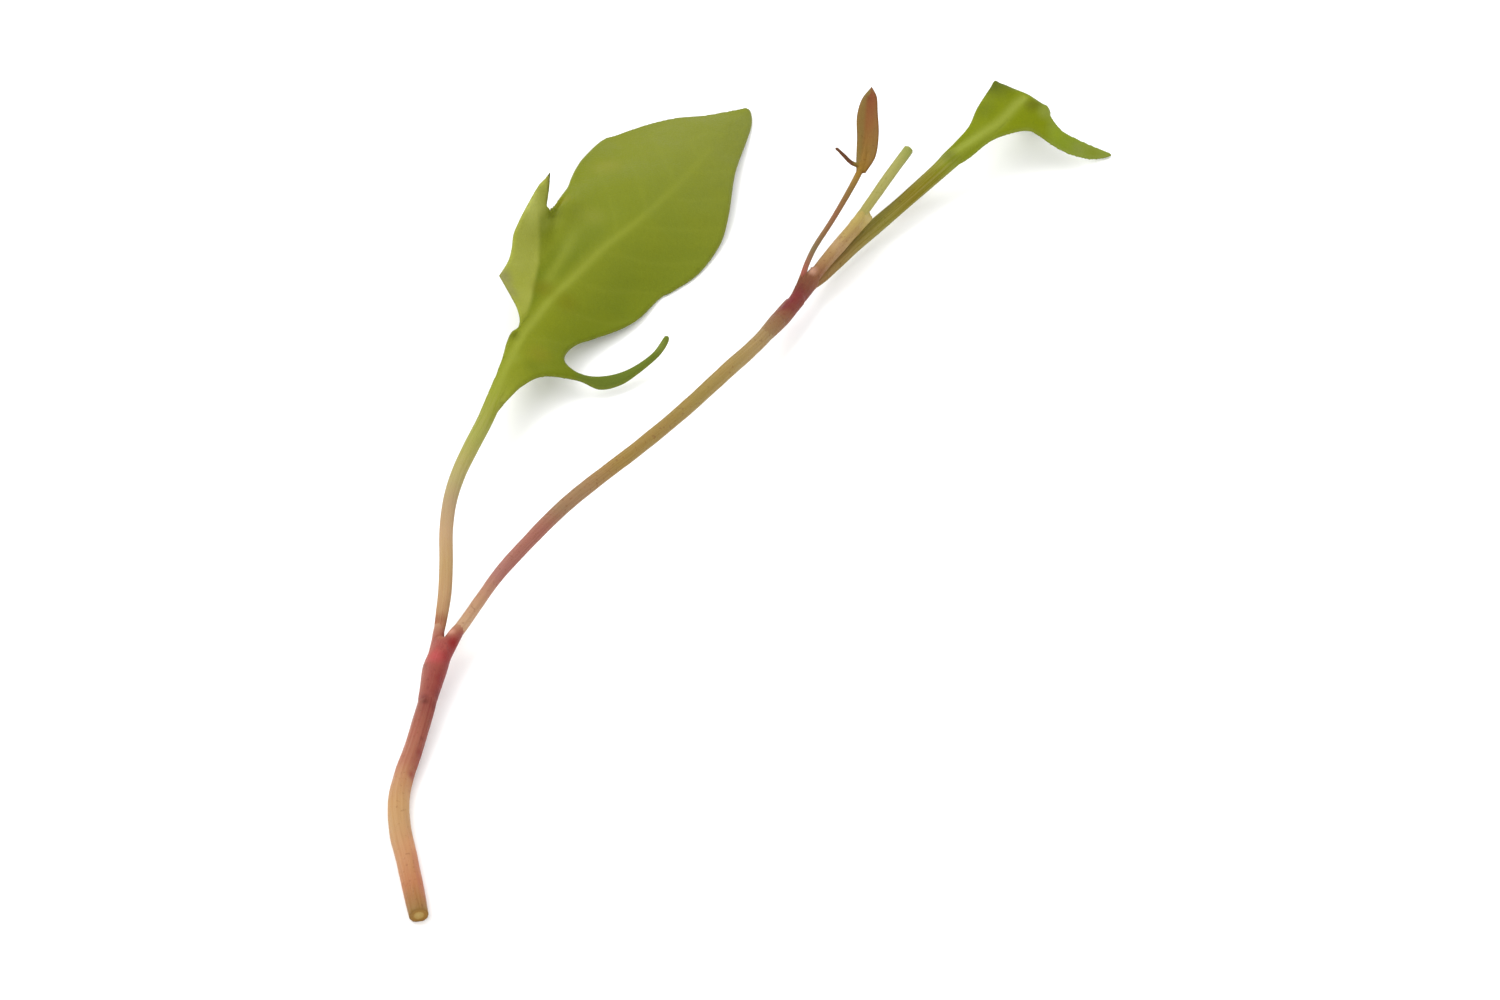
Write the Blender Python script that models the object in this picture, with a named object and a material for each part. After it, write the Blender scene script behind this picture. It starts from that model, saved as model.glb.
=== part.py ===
"""A cut shoot of field sorrel, grown as a microgreen and lying on a flat surface.

Lengths are millimetres, turned into metres by MM. The shoot lies along +Y, from the
cut end of its stem to the tip of its large leaf, with +X to its right and +Z up.
Every leaf is one solid: petiole, blade and basal lobes grew as one piece.
"""

import math

import bmesh
import bpy
import numpy as np
from mathutils import Vector, geometry

MM = 0.001

# Driving dimensions
BLADE_THICKNESS = 0.6
RIB_COVER = 0.10  # how much of the blade lies over its midrib
SETTLED = 0.74  # a blade that comes this low lies flat on the surface
CLEARANCE = 0.1  # gap between two pieces that sit in each other
STEM_SIDES = 12
PETIOLE_SIDES = 8
THIN_SIDES = 6
RING_GAP = 1.0  # between the rings of a stem
HOOK_RING_GAP = 0.4
BLADE_GAP = 0.95  # between the points of a blade's net
NARROW_BLADE_GAP = 0.55
LEAST_SPACING = 0.62  # inner points stay this much of a gap from the margin and the creases
LARGE_RIB_RADII = (0.45, 0.25)
SHARP_ANGLE = math.radians(50)
PLAN_SHIFT = Vector((-0.65, 0.3, 0.0))  # puts the middle of the shoot's footprint at the origin

# Routes: x, y, height of the centre and radius at each point
LOWER_STEM = [
    (-18.35, -33.2, 0.50, 0.57),
    (-18.65, -31.3, 0.48, 0.58),
    (-19.05, -28.9, 0.44, 0.61),
    (-19.5, -26.6, 0.43, 0.63),
    (-19.65, -24.4, 0.44, 0.63),
    (-19.45, -22.4, 0.54, 0.58),
    (-19.0, -20.8, 0.70, 0.54),
    (-18.5, -18.7, 0.95, 0.53),
    (-18.2, -17.4, 1.10, 0.47),
]
NODE_STEM = [
    (-18.0, -16.4, 1.22, 0.42),
    (-17.7, -14.9, 1.38, 0.40),
    (-17.2, -13.2, 1.55, 0.37),
    (-16.5, -11.8, 1.70, 0.34),
]
UPPER_STEM = [
    (-15.45, -10.1, 1.90, 0.34),
    (-14.4, -8.2, 2.10, 0.36),
    (-13.2, -6.3, 2.30, 0.41),
    (-11.75, -4.6, 2.50, 0.45),
    (-10.15, -2.8, 2.65, 0.46),
    (-8.1, -0.5, 2.70, 0.45),
    (-6.0, 2.0, 2.65, 0.45),
    (-3.7, 4.9, 2.45, 0.46),
    (-1.4, 8.2, 2.10, 0.47),
    (0.6, 11.3, 1.70, 0.45),
    (1.6, 13.2, 1.45, 0.42),
    (2.4, 14.8, 1.32, 0.34),
]
LOWER_SHEATH = [
    (-18.15, -17.2, 1.12, 0.64),
    (-18.0, -16.2, 1.24, 0.68),
    (-17.75, -15.0, 1.37, 0.78),
    (-17.55, -13.9, 1.48, 0.75),
    (-17.25, -12.7, 1.60, 0.76),
]
LARGE_PETIOLE = [
    (-17.75, -13.3, 1.60, 0.22),
    (-17.65, -12.4, 1.66, 0.34),
    (-17.5, -11.2, 1.76, 0.39),
    (-17.4, -9.5, 1.93, 0.42),
    (-17.4, -7.4, 2.13, 0.43),
    (-17.4, -4.9, 2.30, 0.43),
    (-17.3, -2.5, 2.40, 0.44),
    (-16.8, -0.3, 2.38, 0.46),
    (-16.1, 1.9, 2.30, 0.48),
    (-15.3, 4.2, 2.20, 0.50),
    (-14.6, 6.6, 2.14, 0.48),
]
LARGE_MIDRIB = [
    (-14.2, 8.0, 2.65),
    (-13.3, 10.5, 2.60),
    (-12.4, 12.4, 2.55),
    (-11.5, 14.1, 2.50),
    (-10.0, 16.3, 2.42),
    (-8.4, 18.7, 2.32),
    (-6.3, 21.3, 2.15),
    (-4.0, 24.8, 1.80),
    (-2.3, 28.1, 1.35),
    (-0.9, 30.7, 0.95),
]
UPPER_SHEATH = [
    (1.1, 12.3, 1.57, 0.62),
    (1.7, 13.5, 1.43, 0.64),
    (2.5, 15.0, 1.32, 0.64),
    (3.2, 16.2, 1.28, 0.62),
    (3.7, 16.9, 1.26, 0.60),
]
SHEATH_TONGUE = [
    (3.2, 16.1, 1.35, 0.45),
    (4.0, 17.2, 1.72, 0.46),
    (5.1, 18.8, 2.02, 0.45),
    (6.1, 20.3, 2.22, 0.44),
    (6.9, 21.5, 2.34, 0.42),
]
SMALL_PETIOLE = [
    (3.0, 16.9, 1.95, 0.16),
    (3.3, 17.8, 2.25, 0.20),
    (4.1, 19.4, 2.62, 0.20),
    (5.0, 21.1, 2.98, 0.20),
    (5.9, 22.8, 3.18, 0.22),
    (6.6, 24.2, 3.30, 0.24),
    (6.95, 25.4, 3.70, 0.20),
]
SMALL_HOOK = [
    (6.7, 24.4, 3.35, 0.28),
    (6.1, 24.35, 3.65, 0.26),
    (5.6, 24.5, 4.15, 0.24),
    (5.2, 24.6, 4.60, 0.18),
]
CUT_PETIOLE = [
    (6.2, 20.5, 2.26, 0.20),
    (6.8, 21.6, 2.40, 0.26),
    (7.5, 22.9, 2.54, 0.30),
    (8.35, 24.45, 2.66, 0.32),
    (9.4, 26.5, 2.76, 0.34),
]
FOLDED_PETIOLE = [
    (3.5, 16.5, 1.00, 0.30),
    (4.2, 17.4, 0.88, 0.38),
    (5.1, 18.7, 0.85, 0.44),
    (6.2, 20.2, 0.90, 0.48),
    (7.55, 21.8, 1.00, 0.49),
    (8.95, 23.4, 1.20, 0.50),
    (10.35, 24.9, 1.48, 0.52),
    (11.6, 26.05, 1.80, 0.54),
    (12.6, 26.9, 2.15, 0.45),
    (13.5, 27.6, 2.45, 0.32),
]

# Margins: strokes between the sharp corners, x, y and height of the upper face.
# Each stroke starts where the one before it ends.
LARGE_MARGIN = [
    [
        (-15.65, 4.1, 2.42),
        (-15.35, 5.6, 2.50),
        (-14.9, 7.3, 2.60),
        (-14.3, 8.9, 2.65),
        (-14.1, 10.6, 2.75),
        (-13.6, 12.4, 2.95),
        (-13.8, 13.2, 3.30),
        (-14.6, 14.6, 3.90),
    ],
    [
        (-14.6, 14.6, 3.90),
        (-14.0, 16.1, 4.10),
        (-13.8, 17.8, 4.30),
        (-13.2, 19.4, 4.50),
        (-12.4, 21.4, 4.60),
        (-11.8, 22.4, 4.70),
    ],
    [
        (-11.8, 22.4, 4.70),
        (-12.05, 21.6, 4.00),
        (-12.1, 21.0, 3.30),
        (-11.75, 20.9, 2.82),
    ],
    [
        (-11.75, 20.9, 2.82),
        (-11.4, 21.7, 2.62),
        (-11.0, 23.2, 2.35),
        (-10.4, 25.9, 1.70),
        (-9.7, 28.0, 1.15),
        (-8.8, 29.5, 0.80),
        (-7.9, 30.2, 0.60),
        (-6.1, 31.1, 0.60),
        (-4.3, 31.7, 0.60),
        (-2.6, 31.8, 0.70),
        (-1.1, 32.2, 0.70),
        (-0.1, 32.6, 0.60),
    ],
    [
        (-0.1, 32.6, 0.60),
        (0.1, 31.4, 0.60),
        (-0.2, 29.8, 0.70),
        (-0.7, 27.3, 0.90),
        (-0.9, 25.7, 1.00),
        (-1.2, 22.8, 0.90),
        (-1.7, 20.6, 0.70),
        (-3.0, 18.3, 0.60),
        (-4.5, 16.8, 0.60),
        (-6.4, 14.3, 0.75),
        (-7.5, 13.2, 0.90),
        (-9.0, 12.1, 1.20),
        (-10.0, 11.3, 1.50),
        (-10.6, 10.4, 1.70),
        (-10.7, 9.5, 1.85),
        (-10.0, 8.9, 1.60),
        (-9.0, 8.8, 1.35),
        (-7.8, 9.2, 1.15),
        (-6.7, 9.9, 1.10),
        (-5.7, 10.9, 1.30),
        (-4.8, 12.0, 1.85),
    ],
    [
        (-4.8, 12.0, 1.85),
        (-5.4, 10.5, 1.25),
        (-6.5, 9.3, 1.00),
        (-7.5, 8.5, 0.90),
        (-8.7, 8.1, 0.95),
        (-10.0, 8.3, 1.40),
        (-11.9, 8.1, 2.15),
        (-13.2, 7.2, 2.40),
        (-14.1, 5.9, 2.50),
        (-14.7, 4.8, 2.45),
        (-15.05, 3.9, 2.40),
    ],
]
LARGE_FOLD = [
    (-12.4, 20.2, 2.85),
    (-12.4, 18.8, 2.75),
    (-12.4, 16.9, 2.70),
    (-12.7, 14.9, 2.70),
    (-13.1, 13.2, 2.78),
]
NOTCH_SHOULDER = [
    (-11.2, 18.6, 2.72),
    (-10.9, 20.2, 2.66),
    (-10.4, 21.9, 2.45),
]
SMALL_MARGIN = [
    [
        (6.35, 23.9, 3.40),
        (6.35, 24.9, 3.65),
        (6.4, 26.2, 4.10),
        (6.4, 27.5, 4.60),
        (6.7, 28.7, 4.90),
        (7.3, 29.6, 5.10),
    ],
    [
        (7.3, 29.6, 5.10),
        (7.6, 28.8, 5.00),
        (7.65, 27.8, 4.70),
        (7.7, 26.3, 4.30),
        (7.5, 24.9, 3.80),
        (6.9, 23.9, 3.40),
    ],
]
FOLDED_MARGIN = [
    [
        (10.25, 25.15, 1.62),
        (11.2, 26.45, 2.12),
        (12.3, 27.7, 2.60),
        (13.0, 28.5, 2.95),
        (13.6, 29.6, 3.40),
        (14.6, 31.2, 4.00),
    ],
    [
        (14.6, 31.2, 4.00),
        (15.2, 31.9, 2.90),
        (15.9, 32.5, 1.60),
        (16.7, 32.7, 0.65),
        (17.4, 32.0, 1.00),
        (18.0, 31.0, 2.00),
        (18.0, 29.9, 3.10),
        (17.9, 29.3, 3.50),
    ],
    [
        (17.9, 29.3, 3.50),
        (18.3, 28.9, 3.00),
        (19.0, 28.5, 2.40),
        (20.1, 28.3, 1.60),
        (21.0, 28.5, 0.90),
        (21.6, 28.5, 0.60),
    ],
    [
        (21.6, 28.5, 0.60),
        (20.6, 27.9, 0.80),
        (19.3, 27.6, 1.45),
        (18.2, 27.8, 2.15),
        (17.3, 28.2, 2.65),
        (16.5, 28.4, 2.85),
        (15.2, 28.1, 2.70),
        (14.2, 27.5, 2.50),
        (13.1, 26.4, 2.15),
        (11.9, 25.6, 1.85),
        (10.55, 24.85, 1.58),
    ],
]
FOLDED_MIDRIB = [
    (12.7, 26.9, 2.35),
    (13.6, 27.7, 2.80),
    (14.8, 28.6, 3.35),
    (15.8, 29.6, 3.75),
]
FOLDED_RIDGE = [
    (15.2, 30.9, 4.00),
    (15.8, 30.6, 3.98),
    (16.6, 30.1, 3.85),
    (17.3, 29.7, 3.65),
]


def clear_scene():
    for obj in list(bpy.data.objects):
        bpy.data.objects.remove(obj, do_unlink=True)


def make_material(name, colour, roughness):
    material = bpy.data.materials.new(name)
    material.use_nodes = True
    shader = material.node_tree.nodes["Principled BSDF"]
    shader.inputs["Base Color"].default_value = (*colour, 1.0)
    shader.inputs["Roughness"].default_value = roughness
    shader.inputs["Metallic"].default_value = 0.0
    return material


def smooth(points, gap):
    """Points about gap apart on a smooth curve through the given ones, as rows of an array."""
    keys = np.array(points, float)
    keys = np.vstack([2 * keys[0] - keys[1], keys, 2 * keys[-1] - keys[-2]])
    rows = []
    for before, start, end, after in zip(keys, keys[1:], keys[2:], keys[3:]):
        count = max(1, round(float(np.linalg.norm(end[:3] - start[:3])) / gap))
        for step in range(count):
            t = step / count
            rows.append(
                start
                + 0.5 * t * (end - before)
                + t * t * (before - 2.5 * start + 2 * end - 0.5 * after)
                + t**3 * (1.5 * start - 1.5 * end + 0.5 * after - 0.5 * before)
            )
    rows.append(keys[-2])
    return np.array(rows)


def fitted_height(points):
    """The smoothest surface through every (x, y, z) point, as a function of places in plan."""
    keys = np.array(points, float)

    def bending(places):
        gap = np.linalg.norm(places[:, None, :2] - keys[None, :, :2], axis=2)
        return gap**2 * np.log(np.maximum(gap, 1e-9))

    count = len(keys)
    level = np.column_stack([np.ones(count), keys[:, :2]])
    system = np.block([[bending(keys), level], [level.T, np.zeros((3, 3))]])
    weights = np.linalg.solve(system, np.append(keys[:, 2], (0, 0, 0)))

    def height(places):
        places = np.atleast_2d(places)
        flat = np.column_stack([np.ones(len(places)), places[:, :2]])
        return bending(places) @ weights[:count] + flat @ weights[count:]

    return height


def new_object(name, work, material):
    """An object from a mesh worked in millimetres, shaded smooth, with its faces pointing out."""
    bmesh.ops.triangulate(work, faces=work.faces[:])
    bmesh.ops.recalc_face_normals(work, faces=work.faces[:])
    bmesh.ops.translate(work, verts=work.verts[:], vec=PLAN_SHIFT)
    bmesh.ops.scale(work, verts=work.verts[:], vec=(MM, MM, MM))
    mesh = bpy.data.meshes.new(name)
    work.to_mesh(mesh)
    work.free()
    mesh.shade_smooth()
    mesh.set_sharp_from_angle(angle=SHARP_ANGLE)
    mesh.materials.append(material)
    obj = bpy.data.objects.new(name, mesh)
    bpy.context.scene.collection.objects.link(obj)
    return obj


def swept_round(name, route, sides, material, extra=0.0, gap=RING_GAP):
    """A round stem along a route, with flat cut ends, flattened where it lies on the surface."""
    rows = smooth(route, gap)
    rows[:, 3] += extra
    if extra:
        along = rows[-1, :3] - rows[-2, :3]
        rows[-1, :3] += extra * along / np.linalg.norm(along)
    work = bmesh.new()
    rings = []
    for index, row in enumerate(rows):
        ahead = rows[min(index + 1, len(rows) - 1), :3]
        behind = rows[max(index - 1, 0), :3]
        along = Vector(ahead - behind).normalized()
        side = along.cross(Vector((0, 0, 1))).normalized()
        up = side.cross(along)
        centre = Vector(row[:3])
        radius = float(row[3])
        ring = []
        for corner in range(sides):
            turn = (corner + 0.5) * math.tau / sides
            point = centre + radius * (math.cos(turn) * side + math.sin(turn) * up)
            if not extra:
                point.z = max(point.z, 0.0)
            ring.append(work.verts.new(point))
        rings.append(ring)
    for ring, following in zip(rings, rings[1:]):
        for corner in range(sides):
            past = (corner + 1) % sides
            work.faces.new((ring[corner], ring[past], following[past], following[corner]))
    work.faces.new(rings[0][::-1])
    work.faces.new(rings[-1])
    return new_object(name, work, material)


def blade(name, margin, creases, material, gap):
    """A leaf blade: its margin in plan, its height fitted to margin and creases, one thickness."""
    keys = list(margin[0])
    for stroke in margin[1:]:
        keys += stroke[1:]
    for crease in creases:
        keys += crease
    height = fitted_height(keys)
    edge = np.vstack([smooth(stroke, gap)[:-1, :2] for stroke in margin])
    edge = np.vstack([edge, np.array(margin[-1][-1][:2])])
    chains = [smooth(crease, gap)[:, :2] for crease in creases]
    taken = np.vstack([edge, *chains])
    low = edge.min(axis=0)
    high = edge.max(axis=0)
    inner = []
    row_gap = gap * np.sqrt(3) / 2
    for row, y in enumerate(np.arange(low[1], high[1], row_gap)):
        for x in np.arange(low[0] + 0.5 * gap * (row % 2), high[0], gap):
            if np.linalg.norm(taken - (x, y), axis=1).min() > LEAST_SPACING * gap:
                inner.append((x, y))
    places = np.vstack([taken, inner]) if inner else taken
    edges = [(index, (index + 1) % len(edge)) for index in range(len(edge))]
    start = len(edge)
    for chain in chains:
        edges += [(start + index, start + index + 1) for index in range(len(chain) - 1)]
        start += len(chain)
    plan, _, faces, _, _, _ = geometry.delaunay_2d_cdt(
        [Vector(place) for place in places], edges, [], 1, 1e-6
    )
    plan = np.array([tuple(place) for place in plan])
    heights = np.maximum(height(plan), BLADE_THICKNESS)
    work = bmesh.new()
    upper = [work.verts.new((*place, z)) for place, z in zip(plan, heights)]
    tops = [work.faces.new([upper[index] for index in face]) for face in faces]
    for face in tops:
        face.normal_update()
        if face.normal.z < 0:
            face.normal_flip()
    for vert in upper:
        vert.normal_update()
    lower = []
    for vert in upper:
        point = vert.co - BLADE_THICKNESS * vert.normal
        point.z = 0.0 if vert.co.z < SETTLED else max(point.z, 0.0)
        lower.append(work.verts.new(point))
    twin = dict(zip(upper, lower))
    walls = [edge for edge in work.edges if len(edge.link_faces) == 1]
    for face in tops:
        work.faces.new([twin[vert] for vert in reversed(face.verts)])
    for rim in walls:
        one, other = rim.verts
        work.faces.new((one, other, twin[other], twin[one]))
    for vert in [vert for vert in work.verts if not vert.link_faces]:
        work.verts.remove(vert)
    return new_object(name, work, material)


def rib(petiole, midrib, radii):
    """The petiole's route carried on under the blade, thinning along its midrib."""
    along = np.linspace(radii[0], radii[1], len(midrib))
    return petiole + [(x, y, z - r - RIB_COVER, r) for (x, y, z), r in zip(midrib, along)]


def as_helper(obj):
    obj.hide_render = True
    obj.display_type = "WIRE"
    return obj


def combine(obj, other, operation):
    modifier = obj.modifiers.new(f"{operation.lower()} {other.name}", "BOOLEAN")
    modifier.operation = operation
    modifier.solver = "EXACT"
    modifier.object = other


clear_scene()

STEM = make_material("tan and red stem", (0.56, 0.32, 0.16), 0.5)
RED_SHEATH = make_material("red sheath", (0.45, 0.07, 0.07), 0.5)
GREEN = make_material("green leaf", (0.21, 0.26, 0.02), 0.55)
BROWN = make_material("brown-red young leaf", (0.34, 0.15, 0.05), 0.55)
PALE = make_material("pale cut petiole", (0.50, 0.49, 0.16), 0.5)

stem_route = LOWER_STEM + NODE_STEM + UPPER_STEM
main_stem = swept_round("main_stem", stem_route, STEM_SIDES, STEM)
stem_room = as_helper(
    swept_round("room for the stem", stem_route, STEM_SIDES, STEM, extra=CLEARANCE)
)

large_creases = [LARGE_MIDRIB, LARGE_FOLD, NOTCH_SHOULDER]
large_leaf = blade("large_leaf", LARGE_MARGIN, large_creases, GREEN, BLADE_GAP)
large_route = rib(LARGE_PETIOLE, LARGE_MIDRIB[1:6], LARGE_RIB_RADII)
large_rib = as_helper(swept_round("large petiole", large_route, PETIOLE_SIDES, GREEN))
combine(large_leaf, large_rib, "UNION")
combine(large_leaf, stem_room, "DIFFERENCE")

lower_ochrea = swept_round("lower_ochrea", LOWER_SHEATH, STEM_SIDES, RED_SHEATH)
large_room = as_helper(
    swept_round("room for the large petiole", large_route, PETIOLE_SIDES, GREEN, extra=CLEARANCE)
)
combine(lower_ochrea, stem_room, "DIFFERENCE")
combine(lower_ochrea, large_room, "DIFFERENCE")

cut_petiole = swept_round("cut_petiole", CUT_PETIOLE, PETIOLE_SIDES, PALE)
cut_room = as_helper(
    swept_round("room for the cut petiole", CUT_PETIOLE, PETIOLE_SIDES, PALE, extra=CLEARANCE)
)

small_leaf = blade("small_leaf", SMALL_MARGIN, [], BROWN, NARROW_BLADE_GAP)
small_stalk = as_helper(swept_round("small petiole", SMALL_PETIOLE, THIN_SIDES, BROWN))
small_hook = as_helper(swept_round("small hook", SMALL_HOOK, THIN_SIDES, BROWN, gap=HOOK_RING_GAP))
small_room = as_helper(
    swept_round("room for the small petiole", SMALL_PETIOLE, THIN_SIDES, BROWN, extra=CLEARANCE)
)
combine(small_leaf, small_stalk, "UNION")
combine(small_leaf, small_hook, "UNION")

folded_leaf = blade("folded_leaf", FOLDED_MARGIN, [FOLDED_MIDRIB, FOLDED_RIDGE], GREEN, NARROW_BLADE_GAP)
folded_stalk = as_helper(swept_round("folded petiole", FOLDED_PETIOLE, PETIOLE_SIDES, GREEN))
folded_room = as_helper(
    swept_round("room for the folded petiole", FOLDED_PETIOLE, PETIOLE_SIDES, GREEN, extra=CLEARANCE)
)
combine(folded_leaf, folded_stalk, "UNION")
combine(folded_leaf, stem_room, "DIFFERENCE")

upper_ochrea = swept_round("upper_ochrea", UPPER_SHEATH, STEM_SIDES, RED_SHEATH)
sheath_tongue = as_helper(swept_round("sheath tongue", SHEATH_TONGUE, PETIOLE_SIDES, RED_SHEATH))
combine(upper_ochrea, sheath_tongue, "UNION")
for room in (stem_room, cut_room, small_room, folded_room):
    combine(upper_ochrea, room, "DIFFERENCE")
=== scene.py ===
"""A cut shoot of field sorrel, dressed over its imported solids.

The shoot lies on a pale table. Routes and margins are in millimetres and follow the
solids'; MM and PLAN_SHIFT turn them into the frame's metres. A leaf, with its
petiole, midrib, blade and lobes, is one closed skin of two sheets that meet along its
outline. Geometry nodes sweep the stems along their routes.
"""

import math

import bpy
import numpy as np
from mathutils import Euler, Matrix, Vector, geometry, kdtree


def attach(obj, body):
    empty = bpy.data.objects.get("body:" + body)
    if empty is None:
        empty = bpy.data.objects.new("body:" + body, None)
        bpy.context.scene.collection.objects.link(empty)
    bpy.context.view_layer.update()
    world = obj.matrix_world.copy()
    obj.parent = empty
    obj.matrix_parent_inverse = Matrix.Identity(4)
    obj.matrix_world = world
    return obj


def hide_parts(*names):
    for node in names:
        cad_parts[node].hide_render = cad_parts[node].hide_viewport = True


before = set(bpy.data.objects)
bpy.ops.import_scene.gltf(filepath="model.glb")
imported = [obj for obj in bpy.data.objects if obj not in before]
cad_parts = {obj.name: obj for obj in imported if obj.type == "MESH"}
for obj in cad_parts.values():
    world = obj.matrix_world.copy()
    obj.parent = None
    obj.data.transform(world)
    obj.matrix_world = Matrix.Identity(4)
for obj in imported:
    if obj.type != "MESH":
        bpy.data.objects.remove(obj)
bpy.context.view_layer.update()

MM = 0.001
PLAN_SHIFT = np.array([-0.65, 0.3, 0.0])
BODY = "root"

# Camera and light
VIEW_TILT = math.radians(45)
VIEW_DISTANCE = 0.6
VIEW_LENS = 249.6
VIEW_AIM = (-0.00058, 0.00014, 0.0)
FLOOR_SIZE = 3.0
SKY_STRENGTH = 1.25
KEY_POWER = 3.4
OWN_SHARE = 0.70  # a colour's own part of what this light makes of it
HAZE = 0.022  # what the surface's gloss adds to it
KEY_SIZE = 0.5
KEY_PLACE = (-0.45, 0.28, 0.75)

# Fineness, in millimetres
RING_GAP = 0.16
THIN_RING_GAP = 0.08
BLADE_GAP = 0.125
THIN_BLADE_GAP = 0.08
LEAST_SPACING = 0.6  # inner points stay this much of a gap from the outlines
TUBE_ROWS = 13
TUBE_REACH = 1.03  # a tube covers what lies within this much of its radius
STEM_SIDES = 48
SLOPE_STEP = 0.02
PLACES_AT_ONCE = 2000
RIPPLE_WAVES = 7
RIPPLE_STRETCH = (0.6, 1.6)
RIPPLE_HEIGHT = 4

# Leaf build, in millimetres
SOLID_BLADE = 0.6
LAMINA = 0.26
MARGIN_ROUNDING = 0.22
SETTLE_REACH = 0.8
STEEPEST = 2.6
BLEND = 0.16
RIB_SINKS = (0.6, 1.6)  # shares of its radius that the midrib lies under the blade's middle
VEIN_WIDTH = 0.17
VEIN_RELIEF = 0.02
VEIN_BEND = 0.05
VEIN_MARK = 0.12
VEIN_WANDER = 0.10
VEIN_WANDER_SIZE = 7.0
VEIN_SEED = 3
MIDRIB_FADE = 0.8
QUILTING = 0.04
QUILT_WIDTH = 0.8
QUILT_START = (0.1, 1.6)
RELIEF_MARGIN = 0.9
CHANNEL_WIDTH = 0.4  # as a share of the petiole's radius
CHANNEL_START = (1, 4)
LEAST_THICKNESS = 0.01
EVENING_ROUNDS = 8
KEY_GAP = 0.35
JOINT_DEPTH = (0.3, 0.75)  # how deep in the blade its joint with a tube is evened out

# Routes: x, y, height of the centre and radius at each point
LOWER_STEM = [
    (-18.28, -33.2, 0.5, 0.54), (-18.62, -31.3, 0.48, 0.59), (-19.05, -28.9, 0.44, 0.61),
    (-19.48, -26.6, 0.43, 0.62), (-19.6, -24.4, 0.44, 0.6), (-19.32, -22.45, 0.54, 0.57),
    (-18.88, -20.8, 0.7, 0.53), (-18.42, -18.7, 0.93, 0.53), (-18.15, -17.4, 1.07, 0.51),
]
NODE_STEM = [
    (-18.0, -16.4, 1.22, 0.42), (-17.7, -14.9, 1.38, 0.4), (-17.1, -13.3, 1.55, 0.37),
    (-16.3, -12.0, 1.7, 0.34),
]
UPPER_STEM = [
    (-15.33, -10.22, 1.9, 0.34), (-14.29, -8.32, 2.1, 0.355), (-13.04, -6.5, 2.3, 0.385),
    (-11.69, -4.69, 2.5, 0.405), (-10.16, -2.78, 2.65, 0.43), (-8.1, -0.5, 2.7, 0.42),
    (-5.95, 1.92, 2.65, 0.42), (-3.67, 4.86, 2.45, 0.43), (-1.4, 8.2, 2.1, 0.45),
    (0.63, 11.26, 1.7, 0.44), (1.6, 13.2, 1.45, 0.42), (2.4, 14.8, 1.32, 0.34),
]
LARGE_PETIOLE = [
    (-17.6, -13.3, 1.6, 0.22), (-17.57, -12.4, 1.66, 0.3), (-17.45, -11.2, 1.76, 0.355),
    (-17.3, -9.5, 1.93, 0.39), (-17.27, -7.4, 2.13, 0.395), (-17.31, -4.9, 2.3, 0.395),
    (-17.13, -2.55, 2.4, 0.41), (-16.69, -0.37, 2.38, 0.435), (-16.02, 1.85, 2.3, 0.465),
    (-15.25, 4.18, 2.2, 0.47), (-14.57, 6.58, 2.14, 0.47),
]
LARGE_MIDRIB = [
    (-14.2, 8.0, 2.65), (-13.3, 10.5, 2.60), (-12.4, 12.4, 2.55), (-11.5, 14.1, 2.50),
    (-10.0, 16.3, 2.42), (-8.4, 18.7, 2.32), (-6.3, 21.3, 2.15), (-4.0, 24.8, 1.80),
    (-2.3, 28.1, 1.35), (-0.9, 30.7, 0.95),
]
SMALL_HOOK = [
    (6.7, 24.4, 3.35, 0.28), (6.1, 24.35, 3.65, 0.26), (5.6, 24.5, 4.15, 0.24),
    (5.2, 24.6, 4.60, 0.18),
]
CUT_PETIOLE = [
    (6.2, 20.5, 2.26, 0.2), (6.82, 21.58, 2.4, 0.27), (7.53, 22.87, 2.54, 0.3),
    (8.36, 24.44, 2.66, 0.31), (9.45, 26.45, 2.76, 0.315),
]
FOLDED_PETIOLE = [
    (3.5, 16.5, 1.00, 0.30), (4.2, 17.4, 0.88, 0.38), (5.1, 18.7, 0.85, 0.44),
    (6.2, 20.2, 0.90, 0.48), (7.55, 21.8, 1.00, 0.51), (8.98, 23.35, 1.20, 0.49),
    (10.39, 24.85, 1.48, 0.52), (11.6, 26.05, 1.80, 0.54), (12.6, 26.9, 2.15, 0.45),
    (13.5, 27.6, 2.45, 0.32),
]

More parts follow.
